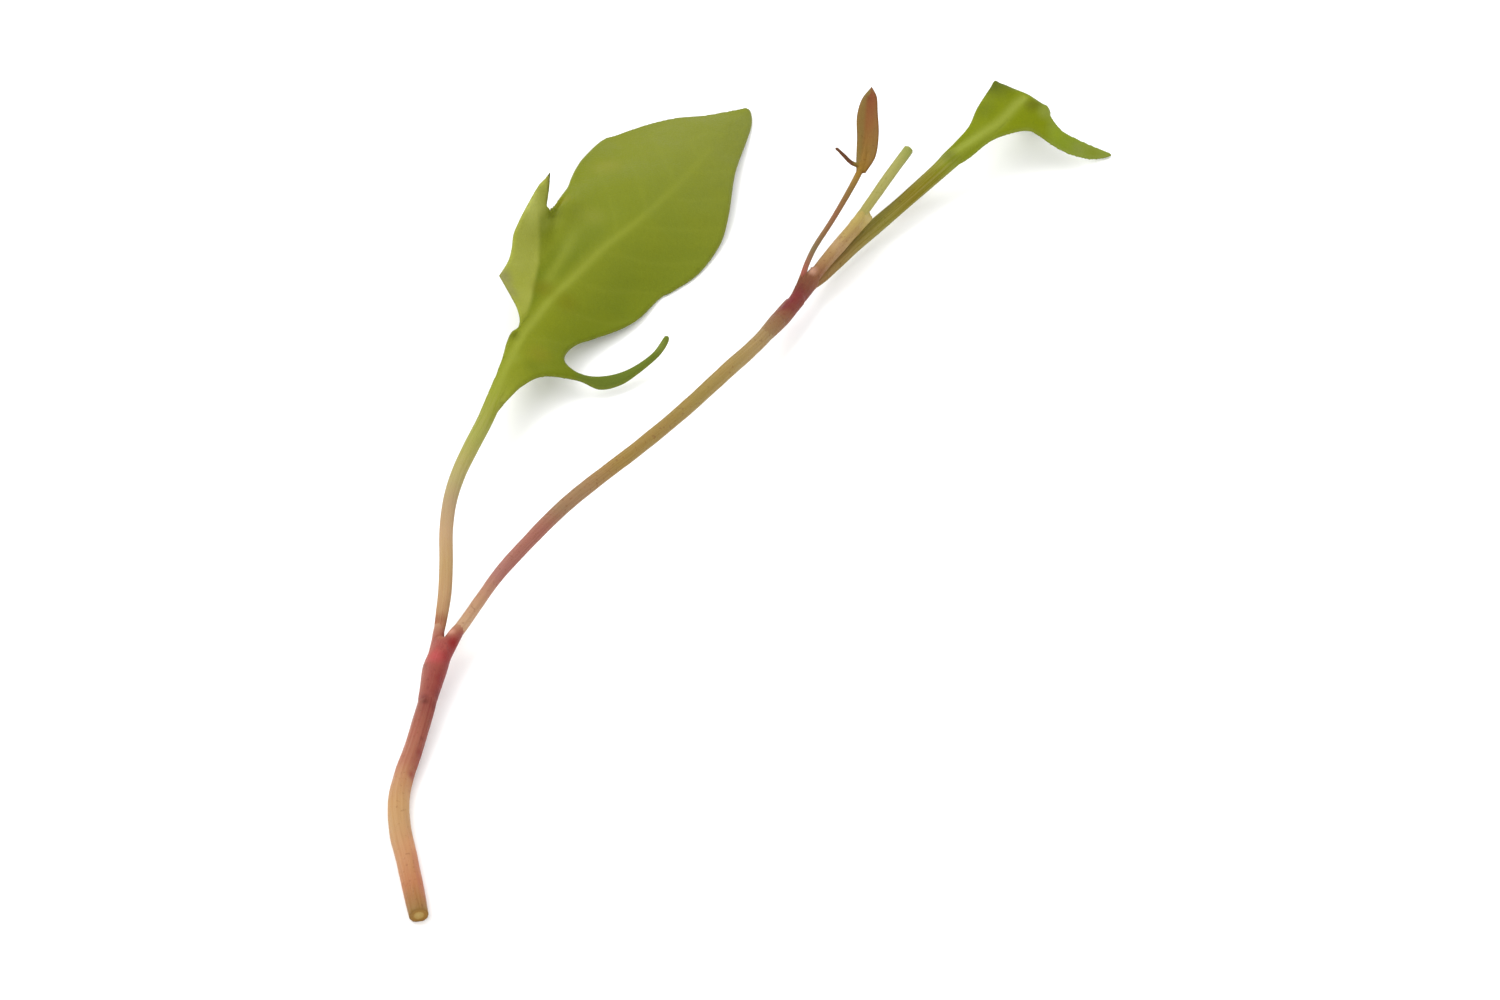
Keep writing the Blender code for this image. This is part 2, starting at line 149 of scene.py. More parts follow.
# Margins: strokes between the sharp corners, x, y and height of the upper face.
# Each stroke starts where the one before it ends.
LARGE_MARGIN = [
    [
        (-15.6, 4.08, 2.33), (-15.27, 5.56, 2.50), (-14.79, 7.27, 2.60), (-14.38, 8.9, 2.65),
        (-14.13, 10.15, 2.70), (-13.86, 11.05, 2.72), (-13.5, 11.5, 2.76), (-13.37, 12.0, 2.84),
        (-13.55, 12.75, 3.08), (-13.85, 13.3, 3.35), (-14.6, 14.6, 3.90),
    ],
    [
        (-14.6, 14.6, 3.90), (-14.1, 15.7, 4.00), (-13.9, 16.6, 4.15), (-13.8, 17.7, 4.30),
        (-13.5, 18.7, 4.40), (-13.2, 19.5, 4.50), (-12.45, 21.4, 4.60), (-12.0, 22.1, 4.64),
        (-11.7, 22.6, 4.70),
    ],
    [
        (-11.7, 22.6, 4.70), (-11.74, 21.9, 4.30), (-11.83, 21.45, 3.75), (-11.9, 21.3, 3.20),
        (-11.72, 21.3, 2.85),
    ],
    [
        (-11.72, 21.3, 2.85), (-11.47, 21.9, 2.62), (-11.1, 22.95, 2.42), (-10.73, 23.95, 2.20),
        (-10.55, 24.95, 1.95), (-10.26, 26.2, 1.65), (-9.8, 27.5, 1.35), (-8.8, 29.5, 0.80),
        (-7.9, 30.2, 0.60), (-6.1, 31.1, 0.60), (-4.3, 31.7, 0.60), (-2.6, 31.8, 0.70),
        (-1.1, 32.2, 0.70), (-0.15, 32.6, 0.60),
    ],
    [
        (-0.15, 32.6, 0.60), (0.1, 32.3, 0.60), (0.18, 31.2, 0.60), (-0.07, 29.8, 0.70),
        (-0.65, 27.3, 0.90), (-0.9, 25.7, 1.00), (-1.2, 22.8, 0.90), (-1.7, 20.6, 0.70),
        (-2.96, 18.22, 0.60), (-4.5, 16.7, 0.60), (-5.22, 16.14, 0.60), (-6.4, 14.3, 0.75),
        (-7.5, 13.2, 0.90), (-9.0, 12.1, 1.20), (-10.0, 11.3, 1.50), (-10.6, 10.4, 1.70),
        (-10.7, 9.5, 1.85), (-10.0, 8.9, 1.60), (-9.0, 8.8, 1.35), (-7.8, 9.2, 1.15),
        (-6.7, 9.9, 1.10), (-5.65, 10.75, 1.32), (-5.1, 11.5, 1.60), (-4.9, 11.75, 1.78),
    ],
    [
        (-4.9, 11.75, 1.78), (-4.7, 11.72, 1.78), (-4.66, 11.5, 1.65), (-4.9, 11.05, 1.40),
        (-5.4, 10.4, 1.20), (-6.5, 9.3, 1.00), (-7.5, 8.5, 0.90), (-8.7, 8.1, 0.95),
        (-10.0, 8.38, 1.40), (-11.9, 7.95, 2.15), (-13.08, 6.95, 2.40), (-13.9, 5.75, 2.50),
        (-14.54, 4.72, 2.45), (-14.93, 3.85, 2.33),
    ],
]
LARGE_FOLD = [
    (-12.2, 20.2, 2.85), (-12.4, 18.8, 2.75), (-12.4, 16.9, 2.70), (-12.65, 14.9, 2.70),
    (-12.85, 13.2, 2.72), (-12.95, 12.2, 2.72),
]
NOTCH_SHOULDER = [
    (-11.3, 18.6, 2.72), (-11.4, 20.2, 2.76), (-11.2, 21.3, 2.68), (-10.85, 22.4, 2.50),
    (-10.45, 23.6, 2.26),
]
NOTCH_INSIDE = [
    (-11.25, 17.4, 2.68), (-10.6, 19.0, 2.62), (-10.2, 20.6, 2.56), (-9.8, 22.0, 2.45),
    (-9.3, 23.6, 2.22), (-8.5, 25.6, 1.85),
]
SMALL_MARGIN = [
    [
        (6.35, 23.9, 3.40), (6.35, 24.9, 3.65), (6.4, 26.2, 4.10), (6.4, 27.5, 4.60),
        (6.7, 28.7, 4.90), (7.3, 29.6, 5.10),
    ],
    [
        (7.3, 29.6, 5.10), (7.6, 28.8, 5.00), (7.65, 27.8, 4.70), (7.7, 26.3, 4.30),
        (7.5, 24.9, 3.80), (6.9, 23.9, 3.40),
    ],
]
FOLDED_MARGIN = [
    [
        (10.25, 25.15, 1.62), (11.17, 26.4, 2.10), (12.3, 27.55, 2.57), (13.08, 28.45, 2.95),
        (13.6, 29.6, 3.40), (14.6, 31.2, 4.00),
    ],
    [
        (14.6, 31.2, 4.00), (15.2, 31.7, 2.40), (15.9, 32.3, 1.10), (16.7, 32.6, 0.60),
        (17.4, 31.9, 0.75), (17.9, 30.8, 1.50), (17.98, 30.0, 2.60), (17.8, 29.48, 3.42),
    ],
    [
        (17.8, 29.48, 3.42), (18.05, 28.95, 3.08), (18.6, 28.62, 2.45), (19.1, 28.6, 2.05),
        (19.9, 28.62, 1.50), (20.8, 28.67, 0.95), (21.5, 28.62, 0.65),
    ],
    [
        (21.5, 28.62, 0.65), (21.62, 28.42, 0.60), (21.1, 28.17, 0.62), (20.3, 27.95, 0.75),
        (19.15, 27.7, 1.35), (18.15, 27.7, 2.00), (17.2, 28.05, 2.55), (16.5, 28.2, 2.80),
        (15.15, 27.9, 2.68), (14.15, 27.35, 2.50), (13.1, 26.48, 2.18), (11.98, 25.75, 1.88),
        (10.55, 24.85, 1.58),
    ],
]
FOLDED_MIDRIB = [
    (12.8, 26.85, 2.33), (13.75, 27.5, 2.72), (14.65, 28.25, 3.05), (15.35, 28.85, 3.38),
    (15.9, 29.45, 3.65), (16.35, 29.9, 3.72),
]
FOLDED_RIDGE = [
    (15.2, 30.85, 3.92), (15.8, 30.5, 3.86), (16.6, 30.05, 3.74), (17.3, 29.6, 3.54),
]

# Forms finer than the solids', in the same way
SMALL_HOOK_SHARE = 0.55
SMALL_STALK = [
    (3.1, 16.1, 1.75, 0.2), (3.26, 16.85, 2.0, 0.17), (3.55, 17.65, 2.28, 0.16),
    (4.0, 18.6, 2.55, 0.16), (4.86, 20.2, 2.83, 0.16), (5.73, 22.02, 3.1, 0.175),
    (6.43, 23.68, 3.28, 0.19), (6.75, 24.7, 3.42, 0.17),
]
THIN_TONGUE = [
    (3.45, 16.3, 1.42, 0.34), (4.1, 17.3, 1.72, 0.34), (5.15, 18.9, 2.02, 0.34),
    (6.1, 20.3, 2.22, 0.33), (6.65, 21.3, 2.35, 0.28), (7.0, 22.0, 2.43, 0.20),
]
WEDGE = [
    (3.6, 16.5, 1.35, 0.28), (4.0, 17.2, 1.42, 0.32), (4.54, 18.05, 1.55, 0.35),
    (5.37, 19.25, 1.72, 0.36), (6.1, 20.3, 1.84, 0.34), (6.68, 21.0, 1.88, 0.27),
    (7.12, 21.5, 1.9, 0.18),
]
FOLDED_STALK_SHARE = 0.92
SHEATH_BODY = [
    (-18.3, -18.2, 1.00, 0.40), (-18.15, -17.3, 1.09, 0.53), (-17.99, -16.36, 1.18, 0.60),
    (-17.78, -15.13, 1.33, 0.70), (-17.5, -14.1, 1.46, 0.64), (-17.35, -13.4, 1.53, 0.52),
]
SHEATH_ON_PETIOLE = [
    (-17.75, -14.3, 1.46, 0.46), (-17.65, -13.3, 1.58, 0.38), (-17.6, -12.5, 1.66, 0.33),
    (-17.53, -11.7, 1.73, 0.27),
]
SHEATH_ON_STEM = [
    (-17.3, -14.1, 1.47, 0.47), (-16.98, -13.3, 1.56, 0.45), (-16.6, -12.5, 1.65, 0.39),
    (-16.22, -11.88, 1.72, 0.29),
]
COLLAR = [
    (0.75, 11.5, 1.66, 0.38), (1.18, 12.2, 1.58, 0.43), (1.7, 13.1, 1.47, 0.475),
    (2.17, 13.9, 1.40, 0.47), (2.9, 15.05, 1.34, 0.40),
]
COLLAR_ON_FOLDED = [
    (2.4, 14.4, 1.34, 0.42), (3.1, 15.6, 1.24, 0.41), (3.8, 16.75, 1.10, 0.30),
]
COLLAR_ON_SMALL = [
    (2.7, 15.1, 1.44, 0.30), (3.0, 15.9, 1.68, 0.25), (3.22, 16.7, 1.93, 0.18),
]
COLLAR_WEB = [
    (3.1, 15.9, 1.55, 0.30), (3.45, 16.6, 1.68, 0.26), (3.75, 17.2, 1.78, 0.15),
]
SMALL_MIDRIB = [
    (6.9, 25.2, 3.62), (7.0, 26.3, 3.98), (7.1, 27.6, 4.46), (7.2, 28.7, 4.82),
]
SIDE_RIDGE = [
    (-12.3, 13.6, 0.0), (-12.0, 14.5, 0.0), (-11.5, 16.1, 0.0), (-10.9, 17.4, 0.0),
    (-10.1, 19.6, 0.0), (-9.0, 20.8, 0.0),
]
SIDE_RIDGE_RISE = 0.09
SIDE_RIDGE_WIDTH = 0.42
RIDGE_MARK = 0.6
CUT_FACE_SHARES = (0.03, 0.3, 0.55, 0.75, 0.9, 0.97)
CUT_FACE_STEP = 0.012
RIDGE_START = (0, 0.3)  # shares of the ridge over which it comes and goes
RIDGE_END = (1, 0.6)


def smooth(points, gap):
    """Points about gap apart on a smooth curve through the given ones, as rows of an array."""
    keys = np.array(points, float)
    keys = np.vstack([2 * keys[0] - keys[1], keys, 2 * keys[-1] - keys[-2]])
    rows = []
    for before, start, end, after in zip(keys, keys[1:], keys[2:], keys[3:]):
        count = max(1, round(float(np.linalg.norm(end[:3] - start[:3])) / gap))
        for step in range(count):
            t = step / count
            rows.append(
                start
                + 0.5 * t * (end - before)
                + t * t * (before - 2.5 * start + 2 * end - 0.5 * after)
                + t**3 * (1.5 * start - 1.5 * end + 0.5 * after - 0.5 * before)
            )
    rows.append(keys[-2])
    return np.array(rows)


def lengths(rows):
    """How far along its route each row lies."""
    return np.append(0, np.cumsum(np.linalg.norm(np.diff(rows[:, :3], axis=0), axis=1)))


def fitted_height(points):
    """The smoothest surface through every (x, y, z) point, as a function of places in plan."""
    keys = np.array(points, float)

    def bending(places):
        gap = np.linalg.norm(places[:, None, :2] - keys[None, :, :2], axis=2)
        return gap**2 * np.log(np.maximum(gap, 1e-9))

    count = len(keys)
    level = np.column_stack([np.ones(count), keys[:, :2]])
    system = np.block([[bending(keys), level], [level.T, np.zeros((3, 3))]])
    weights = np.linalg.solve(system, np.append(keys[:, 2], (0, 0, 0)))

    def height(places):
        flat = np.column_stack([np.ones(len(places)), places[:, :2]])
        return bending(places) @ weights[:count] + flat @ weights[count:]

    return height


def settled(keys):
    """Keys of a solid's upper face, moved to where the thin blade's face lies.

    A thin blade on the table has its face lower than the thick solid's. It goes back by as
    much as it goes down, so the camera, tilted by 45 degrees, sees it at the same place.
    """
    moved = []
    for x, y, z in keys:
        drop = (SOLID_BLADE - LAMINA) * math.exp((SOLID_BLADE - z) / SETTLE_REACH)
        moved.append((x, y + drop, z - drop))
    return moved


def closest(start, step, places):
    """The segment nearest to each place: its number, the share along it and the way from it."""
    size = (step**2).sum(axis=1)
    found = []
    for first in range(0, len(places), PLACES_AT_ONCE):
        offset = places[first : first + PLACES_AT_ONCE, None, :] - start[None]
        share = np.clip((offset * step[None]).sum(axis=2) / size, 0, 1)
        away = offset - share[..., None] * step[None]
        best = np.hypot(away[..., 0], away[..., 1]).argmin(axis=1)
        pick = np.arange(len(best))
        found.append((best, share[pick, best], away[pick, best]))
    return [np.concatenate(parts) for parts in zip(*found)]


def nearest(rows, places):
    """Each place against a route: row position and distance, which is positive on the left."""
    step = rows[1:, :2] - rows[:-1, :2]
    best, share, away = closest(rows[:-1, :2], step, places)
    turn = step[best, 0] * away[:, 1] - step[best, 1] * away[:, 0]
    return best + share, np.hypot(away[:, 0], away[:, 1]) * np.where(turn < 0, -1, 1)


def inside(loop, places):
    """Whether each place lies inside a closed loop."""
    ahead = np.roll(loop, -1, axis=0)
    climb = ahead[:, 1] - loop[:, 1]
    climb[climb == 0] = 1e-12
    x = places[:, None, 0]
    y = places[:, None, 1]
    spans = (loop[None, :, 1] > y) != (ahead[None, :, 1] > y)
    cross = loop[:, 0] + (y - loop[:, 1]) * (ahead[:, 0] - loop[:, 0]) / climb
    return (spans & (x < cross)).sum(axis=1) % 2 == 1


def soft_max(one, other):
    """The larger of two heights, with a fillet between them."""
    share = np.maximum(BLEND - np.abs(one - other), 0) / BLEND
    return np.maximum(one, other) + share**2 * BLEND / 4


def ramped(values, start, end):
    """0 before start, 1 after end and an even turn between them."""
    share = np.clip((values - start) / (end - start), 0, 1)
    return share * share * (3 - 2 * share)


def ripple(places, size, seed):
    """A smooth unevenness of about -1 to 1, from a few waves in seeded directions."""
    draw = np.random.default_rng(seed)
    total = np.zeros(len(places))
    for _ in range(RIPPLE_WAVES):
        turn, phase = draw.uniform(0, math.tau, 2)
        stretch = draw.uniform(*RIPPLE_STRETCH)
        wave = places[:, 0] * math.cos(turn) + places[:, 1] * math.sin(turn)
        total += np.sin(math.tau * wave * stretch / size + phase)
    return total / RIPPLE_HEIGHT


def evened(values, links, rounds):
    """Values evened out between linked points."""
    one, other = links.T
    size = len(values)
    count = np.bincount(links.ravel(), minlength=size)
    for _ in range(rounds):
        total = np.bincount(one, values[other], size) + np.bincount(other, values[one], size)
        values = (values + total / count) / 2
    return values


def tube_outline(rows):
    """A tube's outline in plan, with round ends, and the rows of points inside it."""
    ahead = np.gradient(rows[:, :2], axis=0)
    ahead /= np.linalg.norm(ahead, axis=1)[:, None]
    left = np.column_stack([-ahead[:, 1], ahead[:, 0]])
    radius = rows[:, 3:4]
    turns = np.linspace(-math.pi / 2, math.pi / 2, TUBE_ROWS)[1:-1]
    centre = rows[:, :2]
    tip = [centre[-1] + radius[-1] * (math.cos(t) * ahead[-1] + math.sin(t) * left[-1]) for t in turns]
    root = [centre[0] - radius[0] * (math.cos(t) * ahead[0] + math.sin(t) * left[0]) for t in turns]
    loop = np.vstack([centre - radius * left, tip, (centre + radius * left)[::-1], root])
    return loop, np.vstack([centre + radius * math.sin(t) * left for t in turns])


def blade_net(rim, gap):
    """Evenly spread places inside a blade's rim."""
    low = rim.min(axis=0)
    high = rim.max(axis=0)
    columns = np.arange(low[0], high[0], gap)
    net = []
    for row, y in enumerate(np.arange(low[1], high[1], gap * math.sqrt(3) / 2)):
        net.append(np.column_stack([columns + 0.5 * gap * (row % 2), np.full(len(columns), y)]))
    net = np.vstack(net)
    return net[inside(rim, net)]


def net_of(loops, fixed, free, gap):
    """One net of triangles over all the outlines: places, faces, links and which lie on its rim."""
    taken = np.vstack(loops + fixed)
    tree = kdtree.KDTree(len(taken))
    for index, place in enumerate(taken):
        tree.insert((*place, 0), index)
    tree.balance()
    clear = np.array([tree.find((*place, 0))[2] > LEAST_SPACING * gap for place in free], bool)
    places = np.vstack([taken, free[clear]])
    edges = []
    start = 0
    for loop in loops:
        count = len(loop)
        edges += [(start + index, start + (index + 1) % count) for index in range(count)]
        start += count
    plan, _, faces, _, _, _ = geometry.delaunay_2d_cdt(
        [Vector(place) for place in places], edges, [], 1, 1e-5
    )
    plan = np.array([tuple(place) for place in plan])
    faces = np.array(faces)
    used, faces = np.unique(faces, return_inverse=True)
    faces = faces.reshape(-1, 3)
    plan = plan[used]
    one, two, three = (plan[faces[:, corner]] for corner in range(3))
    area = (two - one)[:, 0] * (three - one)[:, 1] - (two - one)[:, 1] * (three - one)[:, 0]
    faces[area < 0] = faces[area < 0][:, ::-1]
    sides = np.sort(np.vstack([faces[:, [0, 1]], faces[:, [1, 2]], faces[:, [2, 0]]]), axis=1)
    links, uses = np.unique(sides, axis=0, return_counts=True)
    return plan, faces, links, links[uses == 1]


def rim_distance(plan, rim_links):
    """How far each place lies from the rim."""
    start = plan[rim_links[:, 0]]
    away = closest(start, plan[rim_links[:, 1]] - start, plan)[2]
    return np.hypot(away[:, 0], away[:, 1])


def merge(upper, lower, top, bottom, here):
    """Adds a form to an upper and a lower face where it lies, with a fillet where both are."""
    both = here & (upper > -np.inf)
    only = here & ~both
    upper[both] = soft_max(upper[both], top[both])
    lower[both] = -soft_max(-lower[both], -bottom[both])
    upper[only] = top[only]
    lower[only] = bottom[only]


def tube_faces(routes, plan, channel):
    """The faces of merged tubes, and each place along, across and round the first of them."""
    upper = np.full(len(plan), -np.inf)
    lower = np.full(len(plan), np.inf)
    for number, rows in enumerate(routes):
        position, distance = nearest(rows, plan)
        spot = np.arange(len(rows))
        centre = np.interp(position, spot, rows[:, 2])
        radius = np.interp(position, spot, rows[:, 3])
        arch = np.sqrt(np.maximum(radius**2 - distance**2, 0))
        top = centre + arch
        if not number:
            along = np.interp(position, spot, lengths(rows))
            across = distance
            share = np.clip(distance / radius, -1, 1)
            groove = np.exp(-((share / CHANNEL_WIDTH) ** 2)) * ramped(along, *CHANNEL_START)
            top = top - channel * groove
        merge(upper, lower, top, centre - arch, np.abs(distance) < radius * TUBE_REACH)
    return upper, lower, along, across, share


def blade_form(margin, creases, gap):
    """A blade's rim in plan and the height of its upper face, from its margin and creases."""
    margin = [settled(stroke) for stroke in margin]
    creases = [settled(crease) for crease in creases]
    keys = [smooth(stroke, KEY_GAP)[:-1] for stroke in margin] + [margin[-1][-1:]]
    height = fitted_height(np.vstack(keys + [smooth(crease, KEY_GAP) for crease in creases]))
    closed = margin + [[margin[-1][-1], margin[0][0]]]
    return np.vstack([smooth(stroke, gap)[:-1, :2] for stroke in closed]), height


def blade_faces(plan, height, edge, gap, pattern, bumps):
    """A blade's faces, how near a vein each place lies and how deep the veins are sunk there."""
    face = np.maximum(height(plan), LAMINA)
    slopes = [
        (height(plan + step) - height(plan - step)) / (2 * SLOPE_STEP)
        for step in SLOPE_STEP * np.eye(2)
    ]
    stretch = np.minimum(np.sqrt(1 + slopes[0] ** 2 + slopes[1] ** 2), STEEPEST)
    inward = ramped(edge, 0, RELIEF_MARGIN)
    vein, quilt = pattern
    relief = vein * VEIN_RELIEF * inward
    face = face + QUILTING * quilt * inward
    for chain, lift, width in bumps:
        chain = smooth(chain, gap)
        position, distance = nearest(chain, plan)
        share = position / (len(chain) - 1)
        ends = ramped(share, *RIDGE_START) * ramped(share, *RIDGE_END)
        bump = np.exp(-((distance / width) ** 2)) * inward * ends
        face = face + lift * bump
        vein = np.maximum(vein, RIDGE_MARK * bump)
    half = LAMINA / 2 * stretch * np.sqrt(1 - (1 - np.clip(edge / MARGIN_ROUNDING, 0, 1)) ** 2)
    middle = face - LAMINA / 2
    return middle + half, middle - half, vein, relief


def two_sheets(
    name, tubes, margin=None, creases=(), fine=False, veins=None, bumps=(), channel=0.0, lobes=None
):
    """A closed skin over tubes and a blade: an upper and a lower sheet that share their rim.

    The first tube carries the lengthwise coordinate. Each point keeps for the materials how
    far along and across it lies, its place round the tube, how far from the rim it is, how
    near a vein, on which lobe and on which sheet.
    """
    gap = THIN_BLADE_GAP if fine else BLADE_GAP
    routes = [smooth(route, THIN_RING_GAP if fine else RING_GAP) for route in tubes]
    loops, fixed = zip(*(tube_outline(rows) for rows in routes))
    loops, fixed = list(loops), list(fixed)
    free = np.zeros((0, 2))
    if margin:
        rim, height = blade_form(margin, creases, gap)
        loops.append(rim)
        free = blade_net(rim, gap)
    plan, faces, links, rim_links = net_of(loops, fixed, free, gap)
    edge = rim_distance(plan, rim_links)
    none = np.zeros(len(plan))

    upper, lower, along, across, share = tube_faces(routes, plan, channel)
    tube = upper > -np.inf
    joint = np.minimum(2 * evened(tube.astype(float), links, EVENING_ROUNDS), 1)
    vein = relief = none
    if margin:
        on_blade = inside(rim, plan) | ~tube
        pattern = vein_pattern(along, across, plan, **veins) if veins else (none, none)
        top, bottom, vein, relief = blade_faces(plan, height, edge, gap, pattern, bumps)
        merge(upper, lower, top, bottom, on_blade)
        blade_share = evened(on_blade.astype(float), links, EVENING_ROUNDS)
        joint = joint * (1 - blade_share * ramped(edge, *JOINT_DEPTH))
    middle = (upper + lower) / 2
    middle = joint * evened(middle, links, EVENING_ROUNDS) + (1 - joint) * middle
    half = (upper - lower) / 2
    lower = np.maximum(middle - half - relief, 0)
    upper = np.maximum(middle + half - relief, lower + LEAST_THICKNESS)

    inner = np.ones(len(plan), bool)
    inner[rim_links.ravel()] = False
    below = np.arange(len(plan))
    below[inner] = len(plan) + np.arange(inner.sum())
    first = np.column_stack([plan, np.where(inner, upper, np.maximum(middle, 0))])
    second = np.column_stack([plan[inner], lower[inner]])
    facts = {"along": along, "across": across, "edge": edge, "vein": vein, "under": none}
    facts["lobe"] = lobes(plan) if lobes else none
    kept = {label: np.append(values, values[inner]) for label, values in facts.items()}
    kept["under"][len(plan) :] = 1.0
    ring = np.column_stack([share, np.where(inner, np.sqrt(1 - share**2), 0), none])
    kept["ring"] = np.vstack([ring, (ring * (1, -1, 1))[inner]])
    polygons = np.vstack([faces, below[faces][:, ::-1]])
    return mesh_object(name, np.vstack([first, second]), polygons, kept)


def vein_pattern(along, across, plan, start, spacing, lean, reach, midrib_end, widths):
    """Side veins that leave the midrib at one angle, bend forwards and fade outwards."""
    away = np.abs(across)
    stagger = 0.5 * (across > 0)
    wander = VEIN_WANDER * ripple(plan, VEIN_WANDER_SIZE, VEIN_SEED)
    phase = (along - start - lean * away - VEIN_BEND * away**2) / spacing + stagger + wander
    gap = (phase - np.round(phase)) * spacing / math.hypot(1, lean)
    fade = np.clip(1 - away / reach, 0, 1) ** 0.5 * ramped(along - lean * away, start - 1, start + 1)
    line = np.exp(-((gap / VEIN_WIDTH) ** 2)) * fade
    width = widths[0] + (widths[1] - widths[0]) * ramped(along, start - 2, midrib_end)
    midrib = np.exp(-((across / width) ** 2)) * (1 - ramped(along, start + 4, midrib_end) * MIDRIB_FADE)
    quilt = (1 - np.exp(-((gap / QUILT_WIDTH) ** 2))) * fade * ramped(away, *QUILT_START)
    return np.maximum(VEIN_MARK * line, midrib * ramped(along, start - 4, start)), quilt


def mesh_object(name, rows, polygons, facts):
    """An object from rows in millimetres, keeping the facts that its material reads."""
    mesh = bpy.data.meshes.new(name)
    mesh.from_pydata(((rows + PLAN_SHIFT) * MM).tolist(), [], polygons.tolist())
    mesh.update()
    for label, values in facts.items():
        if values.ndim == 2:
            layer = mesh.attributes.new(label, "FLOAT_VECTOR", "POINT")
            layer.data.foreach_set("vector", values.astype(np.float32).ravel())
        else:
            layer = mesh.attributes.new(label, "FLOAT", "POINT")
            layer.data.foreach_set("value", values.astype(np.float32))
    mesh.shade_smooth()
    return placed(name, mesh)


def placed(name, mesh):
    obj = bpy.data.objects.new(name, mesh)
    bpy.context.scene.collection.objects.link(obj)
    return obj


def node(tree, kind, inputs=None, **settings):
    """A node with its settings, and its inputs set to values or fed from sockets."""
    made = tree.nodes.new(kind)
    for label, value in settings.items():
        setattr(made, label, value)
    for label, value in (inputs or {}).items():
        if isinstance(value, bpy.types.NodeSocket):
            tree.links.new(value, made.inputs[label])
        else:
            made.inputs[label].default_value = value
    return made


def maths(tree, operation, one, other=0.0, clamp=False):
    made = node(tree, "ShaderNodeMath", {0: one, 1: other}, operation=operation, use_clamp=clamp)
    return made.outputs[0]


SOCKETS = {float: "NodeSocketFloat", int: "NodeSocketInt"}


def new_tree(name, kind, inputs, outputs):
    """A node group. A socket's value is its default, or the name of its kind where it has none."""
    tree = bpy.data.node_groups.new(name, kind)
    for label, value in inputs.items():
        socket = SOCKETS.get(type(value), value)
        made = tree.interface.new_socket(label, in_out="INPUT", socket_type=socket)
        if socket != value:
            made.default_value = value
    for label, socket in outputs.items():
        tree.interface.new_socket(label, in_out="OUTPUT", socket_type=socket)
    return tree, tree.nodes.new("NodeGroupInput").outputs, tree.nodes.new("NodeGroupOutput")


def geo(tree, kind, inputs=None, **settings):
    """The first output of a new geometry node."""
    return node(tree, "GeometryNode" + kind, inputs, **settings).outputs[0]


def scaled(tree, vector, factor):
    made = node(tree, "ShaderNodeVectorMath", {0: vector, "Scale": factor}, operation="SCALE")
    return made.outputs["Vector"]


